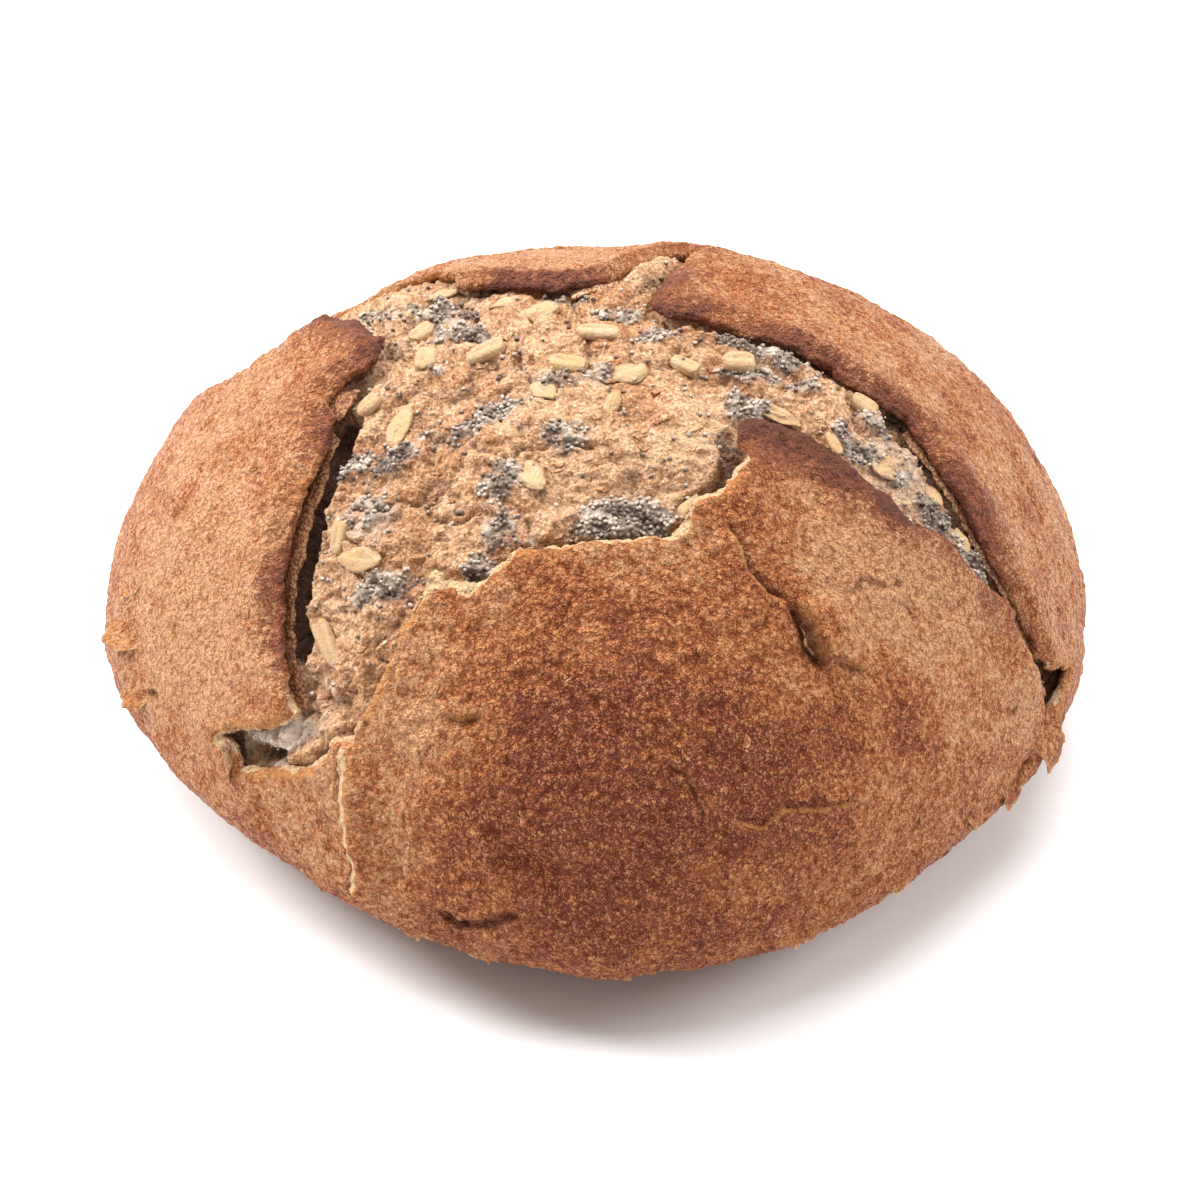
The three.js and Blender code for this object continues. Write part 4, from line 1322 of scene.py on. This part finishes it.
def local_frame(skin, place, turn, tilt):
    """Axes along, across and out of the skin at a place, turned and tilted by degrees."""
    spots = np.array([place, (place[0] + 0.1, place[1]), (place[0], place[1] + 0.1)], float)
    (centre, right, back), normals = skin.at(spots)
    out = normals[0]
    right = right - centre - out * np.dot(right - centre, out)
    right /= np.linalg.norm(right)
    back = np.cross(out, right)
    angle = math.radians(turn)
    along = right * math.cos(angle) + back * math.sin(angle)
    across = np.cross(out, along)
    lean = math.radians(tilt)
    along, out = along * math.cos(lean) + out * math.sin(lean), out * math.cos(lean) - along * math.sin(lean)
    return np.stack([along, across, out])


def oat_grain(length, width, kind, seed):
    """A plump groat with a groove and cut ends, or a thin rolled flake with a ragged rim."""
    points, faces = ball(20, 22)
    points = points[:, [1, 0, 2]]
    rough = points * 5 + seed * 11.7
    if kind == "groat":
        thick = 0.30 * width
        square = np.sign(points) * np.abs(points) ** (0.62, 0.80, 0.85)
        cut = 0.70 + 0.28 * hashed(*np.full((3, 2), seed).astype(np.int64) + np.arange(2), 7)
        square[:, 0] = np.clip(square[:, 0], -cut[0], cut[1])
        shape = square * (length / 2, width / 2, thick)
        shape[:, 1] *= 1 - 0.22 * points[:, 0] ** 2 + 0.14 * points[:, 0]
        shape[:, 2] -= 0.34 * thick * bell(points[:, 1] + 0.1 * points[:, 0], 0.16) * (points[:, 2] > 0)
        shape += 0.17 * np.stack([layered(rough, 3.2, seed + k, 2) for k in range(3)], 1)
    else:
        edge = np.hypot(points[:, 0], points[:, 1])
        wavy = 1 + 0.26 * layered(points * (4, 4, 0) + seed * 5.1, 2.6, seed, 3)
        shape = points * (length / 2, width / 2, 0.36)
        shape[:, :2] *= wavy[:, None]
        shape[:, 2] = np.sign(points[:, 2]) * 0.36 * np.clip(1 - edge ** 6, 0, 1) ** 0.5
        shape[:, 2] += 0.16 * width * noise(points * (2, 2, 0) + seed, 1.5, seed + 3) - 0.20 * edge ** 2
        shape[:, 2] += 0.16 * layered(points * (6, 9, 0) + seed, 2.0, seed + 5, 2)
        shape[:, 2] -= 0.22 * bell(points[:, 1], 0.10) * (points[:, 2] > 0)
    return shape, faces


def flip_outward(points, faces):
    """Turns the faces of a closed shape outward."""
    a, b, c = (points[faces[:, k]] for k in range(3))
    if np.einsum("ij,ij->i", a, np.cross(b, c)).sum() < 0:
        return faces[:, ::-1]
    return faces


def oats(skin, thickness):
    """Every oat grain and flake in turn, pressed into the dough."""
    heights = near_dough(skin, np.array([oat[0] for oat in OATS], float), thickness)
    for number, ((place, length, width, turn, tilt, kind), height) in enumerate(zip(OATS, heights)):
        points, faces = oat_grain(length, width, kind, 400 + 7 * number)
        faces = flip_outward(points, np.array(faces))
        rise = 0.0 if kind == "groat" else 0.30
        rise += 0.35 * length * math.sin(math.radians(tilt))
        centre = skin.out(np.array([place], float), np.array([height + rise]))[0]
        tint = np.full(len(points), (0.5 + 0.618 * number) % 1.0)
        yield points @ local_frame(skin, place, turn, tilt) + centre, faces, {"tint": tint}


# Torn skin between the flaps and the dough: an outline, its height over the
# bare form, how thick it is, how far its surface ripples, and its tone from
# pale dough (0) to amber (1).
LIPS = {
    "lip_left": (
        [(-60, -14), (-58.5, -20), (-63.5, -31), (-69.5, -42), (-74.8, -52), (-78, -61), (-78.8, -71),
         (-78, -80), (-79.5, -82), (-85, -78), (-86, -60), (-80, -45), (-70, -30), (-64, -18)],
        -2.6, 0.8, 0.7, 1.0),
    "lip_right": (
        [(66, -13.5), (76, -21), (86, -28.5), (96, -34.8), (107, -39.5), (117, -42.5), (119, -40),
         (109, -34), (98, -28), (86, -21), (75, -14), (68, -10)],
        -1.4, 0.8, 0.45, 0.75),
    "lip_notch": (
        [(-58, -8), (-53, -8.5), (-50, -10), (-52, -13), (-55.5, -16), (-60, -17)],
        -0.6, 0.9, 0.9, 1.0),
    "lip_back": (
        [(-6, 10), (0, 14.5), (6, 19), (12, 25), (17, 32), (20, 34), (15, 35), (8, 28), (0, 21), (-8, 15)],
        -2.2, 1.2, 0.9, 0.1),
}


def thick_sheet(skin, uv, faces, top, bottom):
    """Closes a thin sheet: its top, the same faces turned over below, and a wall round the rim."""
    count = len(uv)
    rim = rim_of(faces, count).T
    points = np.concatenate([skin.out(uv, top), skin.out(uv, bottom)])
    return points, np.concatenate([faces, faces[:, ::-1] + count] + wall(*rim, *(rim + count)))


def lip_mesh(skin, outline, height, thickness, ripple, spacing=0.5):
    """A thin ragged strip of torn skin, closed all round."""
    low, high = np.min(outline, axis=0) - 3, np.max(outline, axis=0) + 3
    uv, faces = lattice(low, high, spacing)
    place, _ = skin.at(uv)
    shaken = uv + wobble(place, 4.5, 501) * 1.6
    distance = line_distance(shaken, outline, closed=True)[0]
    level = np.where(inside(shaken, outline), distance, -distance)
    uv, faces, side, _ = split(uv, faces, level)
    faces, uv = compact(faces[side > 0], uv)
    place, _ = skin.at(uv)
    inward = line_distance(uv + wobble(place, 4.5, 501) * 1.6, outline, closed=True)[0]
    top = height + ripple * layered(place, 7, 511, 3) + 0.25 * layered(place, 1.8, 515, 2)
    top -= 0.45 * thickness * bell(inward, 0.5)
    bottom = top - thickness * (0.35 + 0.65 * smooth(0, 1.0, inward))
    return *thick_sheet(skin, uv, faces, top, bottom), {"edge": np.tile(bell(inward, 1.2), 2)}


# Thin flakes of crust that stand off the skin: the middle of the side that
# holds on, the way they point in degrees, length of that side, how far they
# reach, and how far their free side lifts.
FLAKES = [
    ((-125, -22), 190, 17, 3.6, 3.4), ((-130, -38), 200, 11, 3.2, 2.8), ((-118, -12), 184, 8, 6, 1.2),
    ((53, -69.5), 224, 15, 9.5, 1.9), ((129, -50), -14, 17, 9, 2.6), ((124, -70), -32, 13, 8, 2.2),
    ((112, -86), -44, 10, 6, 1.5), ((-60, -137), -112, 18, 7, 1.2), ((-38, -146), -98, 14, 6, 1.1),
    ((-92, -118), -136, 14, 6, 1.0), ((60, -134), -66, 22, 7, 1.2), ((88, -112), -52, 16, 6, 1.0),
    ((10, -151), -88, 18, 6, 0.8), ((-107.5, -78.5), -14, 10, 6, 2.4), ((92, 88), 44, 14, 7, 1.8),
    ((-20, 134), 98, 16, 8, 1.8), ((-104, 78), 143, 14, 7, 1.7), ((58, 120), 66, 10, 6, 1.3),
]


def scattered_flakes(count, seed, on_dough=False):
    """Places for small scales all over the baked skin, or over the bare dough."""
    rng = np.random.default_rng(seed)
    found = []
    while len(found) < count:
        way, turn = 172 * math.sqrt(rng.uniform(0.0, 0.9)), rng.uniform(0, 2 * math.pi)
        place = (way * math.cos(turn), way * math.sin(turn))
        length, width, lift = rng.uniform(3, 6.5), rng.uniform(1.8, 3.6), rng.uniform(0.20, 0.50)
        spot = np.array([place])
        near, bare = line_distance(spot, OPENING, closed=True)[0][0], inside(spot, OPENING)[0]
        if near > (4 if on_dough else 12) and bare == on_dough:
            found.append((place, math.degrees(turn) + rng.uniform(-70, 70), length, width, lift))
    return found


def flake_mesh(cover, skin, place, turn, length, width, lift, seed):
    """One ragged flake, closed all round, with what its material reads. cover: the skin it peels off."""
    steps = 0.40 if width > 4 else 0.32
    flat, faces = lattice((-length / 2 - 1, -0.3), (length / 2 + 1, 1.35 * width), steps)
    shaken = np.column_stack([flat, np.full(len(flat), 9.7 * seed)])
    ragged = layered(shaken, 3.6, 521, 4, 0.62)
    reach = width * np.clip(1 - np.abs(2 * flat[:, 0] / length) ** 2.4, 0, 1) ** 0.55
    level = np.minimum(reach * (1 + 0.5 * ragged) - flat[:, 1], flat[:, 1] + 0.25)
    flat, faces, side, _ = split(flat, faces, level, snap=0.02)
    faces, flat = compact(faces[side > 0], flat)
    angle = math.radians(turn)
    ahead = np.array([math.cos(angle), math.sin(angle)])
    uv = np.array(place) + flat[:, 1:] * ahead + flat[:, :1] * np.array([ahead[1], -ahead[0]])
    rim = rim_of(faces, len(uv))
    free = np.sqrt(nearest_squared(flat, flat[rim[:, 0]]))
    along = np.clip(flat[:, 1] / width, 0, 1.3)
    under = cover(uv)
    top = under.height - 0.6 + (lift + 0.6) * along ** 1.25
    top += 0.25 * lift * layered(np.column_stack([flat, np.full(len(flat), 3.1 * seed)]), 5, 531, 3)
    bottom = top - 0.75 * (0.3 + 0.7 * np.clip(free / 0.9, 0, 1))
    looks = {key: np.tile(values, 2) for key, values in under.looks().items()}
    edge = bell(free, 0.55) * (along > 0.15)
    if "torn" in looks:
        looks["torn"] = np.concatenate([0.45 * edge, np.ones(len(uv))])
        looks["amber"] = np.concatenate([0.8 * bell(free, 1.8) * smooth(0.1, 0.6, along), np.zeros(len(uv))])
        looks["burnt"][:] = 0
    else:
        looks["brown"] = np.clip(looks["brown"] + np.tile(0.7 * bell(free, 0.9), 2), 0, 1)
    return *thick_sheet(skin, uv, faces, top, bottom), looks


def flakes_mesh(cover, skin, table):
    """All the flakes of a table, as one mesh."""
    return joined(flake_mesh(cover, skin, *flake, number) for number, flake in enumerate(table))


# ---- Materials -----------------------------------------------------------

# Tones that go with the bread's own colours, as linear values. The two of the
# hollows are painted shade: they multiply what lies under them in the hollows of the grain.
CRUST_HOLLOW_SHADE = (0.47, 0.30, 0.20)
DOUGH_HOLLOW_SHADE = (0.55, 0.38, 0.28)
DOUGH_SPECKLE = (0.760, 0.535, 0.345)
SEED_BED = (0.190, 0.132, 0.100)
CAKED_BED = (0.540, 0.440, 0.350)
LIP_BROWN = (0.330, 0.150, 0.055)
POPPY_PALE = (0.215, 0.140, 0.100)
# Flour on the seeds' upper sides, and painted highlight there.
POPPY_DUST_AND_HIGHLIGHT = (0.650, 0.550, 0.455)
CRUMB_PALE = (0.700, 0.620, 0.540)
CRUMB_GREY = (0.500, 0.410, 0.330)
OAT_TOASTED = (0.540, 0.300, 0.120)
CAKE_MM = 4.2       # width of the patches where flour cakes the seeds


def baked_grain_group():
    """Fine baked grain: a height, masks of its tips and of its hollows, which the materials paint paler and
    darker as partly painted highlight and painted shade, and a random tone for each grain.
    """
    t, given = new_group("Baked Grain", "ShaderNodeTree", {"Vector": "Vector", "Per Metre": "Float"},
                         dict.fromkeys(("Height", "Tips", "Hollows", "Shade"), "Float"))
    rough = t.add("ShaderNodeTexNoise", {
        "Vector": given["Vector"], "Scale": given["Per Metre"], "Detail": 2.0, "Roughness": 0.7})
    stir = t.add("ShaderNodeVectorMath", {0: rough.outputs["Color"], 1: (0.5, 0.5, 0.5)},
                 operation="SUBTRACT")
    stir = t.scaled(stir.outputs[0], t.math("DIVIDE", 0.9, given["Per Metre"]))
    stirred = t.add("ShaderNodeVectorMath", {0: given["Vector"], 1: stir}, operation="ADD")
    cells = t.add("ShaderNodeTexVoronoi", {
        "Vector": stirred.outputs[0], "Scale": given["Per Metre"], "Randomness": 1.0}, feature="F1")
    shade = t.add("ShaderNodeSeparateColor", {0: cells.outputs["Color"]}).outputs[0]
    knobs = t.math("SUBTRACT", 1.0, cells.outputs["Distance"])
    height = t.plus(t.times(rough.outputs[0], 0.4), t.times(knobs, 0.6))
    tall = t.plus(height, t.times(shade, 0.16))
    t.add("NodeGroupOutput", {"Height": height, "Tips": t.rise(tall, 0.63, 0.77),
                              "Hollows": t.rise(height, 0.55, 0.42), "Shade": shade})
    return t.tree


def flour_dust_group():
    """Where flour lies: a powdery mask from how much was dusted there, and the height it adds."""
    t, given = new_group("Flour Dust", "ShaderNodeTree", {"Vector": "Vector", "Amount": "Float"},
                         {"Mask": "Float", "Height": "Float"})
    fine = t.noise(given["Vector"], 0.38, 3.0)
    broad = t.noise(given["Vector"], 2.4, 2.0)
    powder = t.plus(t.times(fine, 0.55), t.times(broad, 0.45))
    reach = t.math("SUBTRACT", t.plus(powder, given["Amount"]), 1.0)
    mask = t.rise(reach, -0.12, 0.30)
    t.add("NodeGroupOutput", {"Mask": mask, "Height": t.times(mask, fine)})
    return t.tree


def baked_grain(t, place, per_metre):
    """What the grain's group gives at a place, for a number of grains in a metre."""
    group = bpy.data.node_groups.get("Baked Grain") or baked_grain_group()
    return t.add("ShaderNodeGroup", {"Vector": place, "Per Metre": per_metre}, node_tree=group).outputs


def flour_dust(t, place, amount):
    """What the flour's group gives at a place, for how much was dusted there."""
    group = bpy.data.node_groups.get("Flour Dust") or flour_dust_group()
    return t.add("ShaderNodeGroup", {"Vector": place, "Amount": amount}, node_tree=group).outputs


def new_material(name):
    """An empty material, the words to fill it with, and its places in object coordinates."""
    material = bpy.data.materials.new(name)
    material.use_nodes = True
    material.node_tree.nodes.clear()
    t = Tree(material.node_tree)
    return material, t, t.add("ShaderNodeTexCoord").outputs["Object"]


def finish_material(t, colour, roughness, heights, gloss=0.5, **constants):
    """Ends a material: colour and roughness into the shader, and heights in millimetres into its bump."""
    total = None
    for height, depth in heights:
        part = t.times(height, depth)
        total = part if total is None else t.plus(total, part)
    inputs = {"Base Color": colour, "Roughness": roughness, "Specular IOR Level": gloss}
    if total is not None:
        bump = t.add("ShaderNodeBump", {"Height": total, "Distance": MM, "Strength": 1.0})
        inputs["Normal"] = bump.outputs[0]
    inputs.update({key.replace("_", " ").title(): value for key, value in constants.items()})
    shader = t.add("ShaderNodeBsdfPrincipled", inputs)
    t.add("ShaderNodeOutputMaterial", {"Surface": shader.outputs[0]})


def crust_material(colours):
    material, t, place = new_material("Crust")
    coarse = baked_grain(t, place, 1000.0)
    fine = baked_grain(t, place, 2300.0)
    # This tone is partly how the skin baked and partly painted shade low down and on the front.
    toast_and_shade = t.plus(t.value("toast_and_shade"), t.stray(place, 13, 0.22))
    toast_and_shade = t.plus(toast_and_shade, t.stray(place, 1.7, 0.24))
    colour = t.mix(t.rise(toast_and_shade, 0.0, 0.55), colours.crust_light, colours.crust_mid)
    colour = t.mix(t.rise(toast_and_shade, 0.40, 1.0), colour, colours.crust_deep)
    # Pale grain tips: partly paler baked tips and partly painted highlight on the tops of the grain.
    pale = t.times(fine["Tips"], t.rise(toast_and_shade, 0.0, 1.0, 0.44, 0.50))
    colour = t.mix(pale, colour, colours.crust_tip)
    pale = t.times(coarse["Tips"], t.rise(coarse["Shade"], 0.3, 1.0, 0.06, 0.42))
    colour = t.mix(pale, colour, colours.crust_tip)
    # Painted shade: the hollows of the grain, in the shader and in the mesh, are darkened by multiplying.
    hollow_shade = t.plus(t.times(coarse["Hollows"], 0.65), t.times(fine["Hollows"], 0.60))
    hollow_shade = t.plus(hollow_shade, t.rise(t.value("grain"), 0.15, 0.7, 0.4, 0.0))
    hollow_shade = t.times(hollow_shade, t.rise(toast_and_shade, 0.0, 0.9, 0.60, 1.0), clamp=True)
    colour = t.mix(hollow_shade, colour, CRUST_HOLLOW_SHADE, "MULTIPLY")
    spread = t.stray(place, 1.5, 0.22)
    burnt = t.plus(t.value("burnt"), spread)
    burnt = t.math("SUBTRACT", burnt, t.times(fine["Tips"], 0.25))
    colour = t.mix(t.rise(burnt, 0.05, 0.55), colour, colours.crust_red)
    colour = t.mix(t.rise(burnt, 0.40, 1.0), colour, colours.crust_burnt)
    colour = t.mix(t.times(t.rise(t.plus(t.value("amber"), spread), 0.2, 1.0), 0.75),
                   colour, colours.crust_amber)
    colour = t.mix(t.rise(t.plus(t.value("torn"), spread), 0.35, 0.6), colour, colours.torn_flesh)
    # Painted shade: the foot of each crack and groove, and the small pits, are darkened to the toasted
    # edge's tone.
    colour = t.mix(t.times(t.value("crack"), 0.75, clamp=True), colour, colours.crust_burnt)
    flecks = t.rise(t.noise(place, 1.25, 1.0), 0.685, 0.735, 0.0, 0.8)
    colour = t.mix(flecks, colour, colours.crust_red)
    roughness = t.rise(fine["Height"], 0.40, 0.68, 0.72, 0.34)
    finish_material(t, colour, roughness, [(coarse["Height"], 1.4), (fine["Height"], 0.7)], gloss=0.30)
    return material


def dough_material(colours):
    material, t, place = new_material("Dough")
    grain = baked_grain(t, place, 1300.0)
    flakes = t.noise(place, 1.6, 4.0, 0.6)
    brown = t.plus(t.value("brown"), t.rise(flakes, 0.3, 0.7, -0.55, 0.55))
    colour = t.mix(t.rise(brown, 0.05, 1.05), colours.dough, colours.dough_brown)
    colour = t.mix(t.rise(t.noise(place, 0.8, 3.0), 0.46, 0.66, 0.0, 0.55), colour, DOUGH_SPECKLE)
    # Painted shade in the hollows of the dough's grain.
    hollow_shade = t.times(grain["Hollows"], t.rise(flakes, 0.35, 0.6, 1.0, 0.4))
    colour = t.mix(t.times(hollow_shade, 0.85), colour, DOUGH_HOLLOW_SHADE, "MULTIPLY")
    flecks = t.rise(t.noise(place, 0.95, 1.0), 0.665, 0.72, 0.0, 0.8)
    colour = t.mix(flecks, colour, colours.dough_dark)
    # Painted shade in crevices, creases and the cave.
    crevice_shade = t.plus(t.value("crevice_shade"), t.stray(place, 1.1, 0.25))
    colour = t.mix(t.rise(crevice_shade, 0.25, 1.0), colour, colours.dough_dark)
    caked = t.plus(t.value("seeded"), t.stray(place, 1.2, 0.3))
    cakes = t.rise(t.noise(place, CAKE_MM, 2.0), 0.42, 0.60)
    colour = t.mix(t.rise(caked, 0.15, 0.75), colour, t.mix(cakes, SEED_BED, CAKED_BED))
    dust = flour_dust(t, place, t.value("flour"))
    colour = t.mix(t.times(dust["Mask"], 0.8), colour, colours.flour)
    roughness = t.rise(dust["Mask"], 0.0, 1.0, 0.66, 0.9)
    finish_material(t, colour, roughness, [(grain["Height"], 0.6), (flakes, 0.6), (dust["Height"], 0.3)],
                    gloss=0.3)
    return material


def lip_material(name, tint, colours):
    material, t, place = new_material(name)
    grain = baked_grain(t, place, 1500.0)
    edge = t.plus(t.value("edge"), t.stray(place, 1.5, 0.3))
    base = t.mix(tint, colours.dough, LIP_BROWN)
    colour = t.mix(t.times(t.rise(edge, 0.4, 1.2), 1.0 - 0.85 * tint), base, colours.torn_flesh)
    # Painted shade in the hollows of the thin skin's grain.
    colour = t.mix(t.times(grain["Hollows"], 0.8), colour, colours.crust_deep, "MULTIPLY")
    finish_material(t, colour, 0.7, [(grain["Height"], 0.5)], gloss=0.4)
    return material


def poppy_material(colours):
    material, t, place = new_material("Poppy Seed")
    tint = t.value("tint")
    dark = t.mix(tint, colours.poppy, POPPY_PALE)
    # The seeds' upper sides turn pale: partly flour resting on them and partly painted highlight.
    dusted_top_and_highlight = t.rise(t.plus(t.value("top"), t.times(tint, 0.6)), -0.4, 1.4)
    cakes = t.rise(t.noise(place, CAKE_MM, 2.0), 0.42, 0.60, 0.22, 1.0)
    colour = t.mix(t.times(dusted_top_and_highlight, cakes), dark, POPPY_DUST_AND_HIGHLIGHT)
    finish_material(t, colour, 0.9, [(t.noise(place, 0.5), 0.15)], gloss=0.08)
    return material


def flour_material():
    material, t, place = new_material("Flour Crumbs")
    grey = t.mix(t.value("tint"), CRUMB_PALE, CRUMB_GREY)
    finish_material(t, grey, 0.95, [(t.noise(place, 0.3), 0.1)], gloss=0.05)
    return material


def oat_material(colours):
    material, t, place = new_material("Oat")
    streaks = t.noise(place, 0.9, 3.0, 0.8)
    tone_now = t.plus(t.rise(streaks, 0.35, 0.7), t.times(t.value("tint"), 0.45))
    colour = t.mix(t.rise(tone_now, 0.4, 1.3), colours.oat, OAT_TOASTED)
    dust = flour_dust(t, place, 0.46)
    colour = t.mix(t.times(dust["Mask"], 0.7), colour, colours.flour)
    finish_material(t, colour, 0.65, [(streaks, 0.5), (dust["Height"], 0.25)], gloss=0.3)
    return material


# ---- Operators -----------------------------------------------------------


class BREAD_OT_crust(bpy.types.Operator):
    """Bake the torn crust: four flaps, the skin on the front, and the underside"""

    bl_idname = "bread.crust"
    bl_label = "Bake the Crust"

    def execute(self, context):
        shape, colours = context.scene.bread_shape, context.scene.bread_colours
        skin = Skin(shape)
        material = crust_material(colours)
        for name, plane, faces, uv in crust_stretches(skin, shape):
            piece = shell(skin, uv, faces, plane, shape.crust_thickness / MM, name)
            settle(piece, material)
        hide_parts("loaf")
        table = FLAKES + scattered_flakes(CRUST_SCALES, 5)
        flakes = flakes_mesh(lambda uv: Crust(skin, uv), skin, table)
        settle(make_object("crust_flakes", *flakes), material)
        return {"FINISHED"}


class BREAD_OT_dough(bpy.types.Operator):
    """Fill the crust with the soft dough that shows through the opening"""

    bl_idname = "bread.dough"
    bl_label = "Fill With Dough"

    def execute(self, context):
        shape = context.scene.bread_shape
        skin, thickness = Skin(shape), shape.crust_thickness / MM
        material = dough_material(context.scene.bread_colours)
        settle(make_object("dough", *dough_body(skin, shape, thickness)), material)
        table = scattered_flakes(DOUGH_SCALES, 8, on_dough=True)
        scales = flakes_mesh(lambda uv: Dough(skin, uv, thickness), skin, table)
        settle(make_object("dough_scales", *scales), material)
        return {"FINISHED"}


class BREAD_OT_lips(bpy.types.Operator):
    """Tear the thin skins that hang between the flaps and the dough"""

    bl_idname = "bread.lips"
    bl_label = "Tear the Thin Skins"

    def execute(self, context):
        skin = Skin(context.scene.bread_shape)
        for name, (outline, height, thickness, ripple, tint) in LIPS.items():
            material = lip_material(name.replace("_", " ").title(), tint, context.scene.bread_colours)
            settle(make_object(name, *lip_mesh(skin, outline, height, thickness, ripple)), material)
        return {"FINISHED"}


class BREAD_OT_oats(bpy.types.Operator):
    """Press the oat grains and flakes into the dough"""

    bl_idname = "bread.oats"
    bl_label = "Press in the Oats"

    def execute(self, context):
        shape = context.scene.bread_shape
        piece = make_object("oats", *joined(oats(Skin(shape), shape.crust_thickness / MM)))
        settle(piece, oat_material(context.scene.bread_colours))
        return {"FINISHED"}


class BREAD_OT_poppy(bpy.types.Operator):
    """Strew the beds of poppy seeds over the dough"""

    bl_idname = "bread.poppy"
    bl_label = "Strew Poppy Seeds"

    def execute(self, context):
        length = context.scene.bread_shape.poppy_length / MM
        points, faces = ball(4, 6)
        lump = 1 + 0.12 * points[:, :1] - 0.10 * points[:, 1:2] ** 2
        points = points * lump * (length / 2, length * 0.40, length * 0.36)
        strew("poppy_seeds", points, faces, poppy_material(context.scene.bread_colours), {
            "Thickness Attribute": "poppy_bed", "Per Square Metre": 2.2e6, "Spacing": 0.66 * length * MM,
            "Smallest": 0.85, "Largest": 1.15, "Raise": 0.12 * MM, "Raise Spread": 0.40 * MM, "Tilt": 1.2,
            "Seed": 3})
        return {"FINISHED"}


class BREAD_OT_flour(bpy.types.Operator):
    """Dust crumbs of flour over the seeds and the dough"""

    bl_idname = "bread.flour"
    bl_label = "Dust With Flour"

    def execute(self, context):
        width = context.scene.bread_shape.flour_grain / MM
        points, faces = ball(3, 4)
        points = points * (width / 2, width * 0.42, width * 0.34)
        strew("flour_crumbs", points, faces, flour_material(), {
            "Thickness Attribute": "flour_bed", "Per Square Metre": 3.2e6, "Spacing": 0.45 * width * MM,
            "Smallest": 0.35, "Largest": 1.0, "Raise": 0.30 * MM, "Raise Spread": 0.45 * MM, "Tilt": 1.5,
            "Seed": 11})
        return {"FINISHED"}


class BREAD_OT_stage(bpy.types.Operator):
    """Lay the pale floor and set up the light and the camera"""

    bl_idname = "bread.stage"
    bl_label = "Set the Stage"

    def execute(self, context):
        scene = context.scene
        corners = FLOOR_HALF / MM * np.array([(-1, -1, 0), (1, -1, 0), (1, 1, 0), (-1, 1, 0)], float)
        floor = make_object("floor", corners, np.array([(0, 1, 2), (0, 2, 3)]), {})
        material, t, _ = new_material("Floor")
        finish_material(t, (FLOOR_WHITE, FLOOR_WHITE, FLOOR_WHITE, 1.0), 0.9, [], gloss=0.2)
        floor.data.materials.append(material)
        for name, (place, width, power) in LAMPS.items():
            light = bpy.data.lights.new(name, "AREA")
            light.shape, light.size, light.energy = "DISK", width, power
            lamp = bpy.data.objects.new(name, light)
            lamp.location = place
            lamp.rotation_euler = (Vector(LAMP_TARGET) - Vector(place)).to_track_quat("-Z", "Y").to_euler()
            context.collection.objects.link(lamp)
        world = bpy.data.worlds.new("Studio")
        world.use_nodes = True
        sky = world.node_tree.nodes["Background"].inputs
        sky["Color"].default_value = (1.0, 1.0, 1.0, 1.0)
        sky["Strength"].default_value = SKY_STRENGTH
        scene.world = world
        scene.view_settings.view_transform = "Standard"
        lens = bpy.data.cameras.new("camera")
        lens.lens, lens.sensor_width, lens.clip_end = CAMERA_LENS, 36.0, 20.0
        camera = bpy.data.objects.new("camera", lens)
        lean, target = math.radians(CAMERA_LEAN), Vector(CAMERA_TARGET)
        camera.location = target + CAMERA_DISTANCE * Vector((0, -math.cos(lean), math.sin(lean)))
        camera.rotation_euler = (target - camera.location).to_track_quat("-Z", "Y").to_euler()
        context.collection.objects.link(camera)
        scene.camera = camera
        return {"FINISHED"}


class BREAD_PT_bread(bpy.types.Panel):
    """Buttons and sizes of the bread"""

    bl_idname = "BREAD_PT_bread"
    bl_label = "Sourdough Bread"
    bl_space_type = "VIEW_3D"
    bl_region_type = "UI"
    bl_category = "Bread"

    def draw(self, context):
        layout = self.layout
        for step in STEPS:
            layout.operator(step.bl_idname)
        for group in (context.scene.bread_shape, context.scene.bread_colours):
            for name in type(group).__annotations__:
                layout.prop(group, name)


STEPS = (BREAD_OT_crust, BREAD_OT_dough, BREAD_OT_lips, BREAD_OT_oats, BREAD_OT_poppy, BREAD_OT_flour,
         BREAD_OT_stage)
CLASSES = (BreadShape, BreadColours, *STEPS, BREAD_PT_bread)


def register():
    for item in CLASSES:
        bpy.utils.register_class(item)
    bpy.types.Scene.bread_shape = PointerProperty(type=BreadShape)
    bpy.types.Scene.bread_colours = PointerProperty(type=BreadColours)


def unregister():
    del bpy.types.Scene.bread_shape
    del bpy.types.Scene.bread_colours
    for item in reversed(CLASSES):
        bpy.utils.unregister_class(item)


def main():
    register()
    for step in STEPS:
        group, name = step.bl_idname.split(".")
        getattr(getattr(bpy.ops, group), name)()


if __name__ == "__main__":
    main()
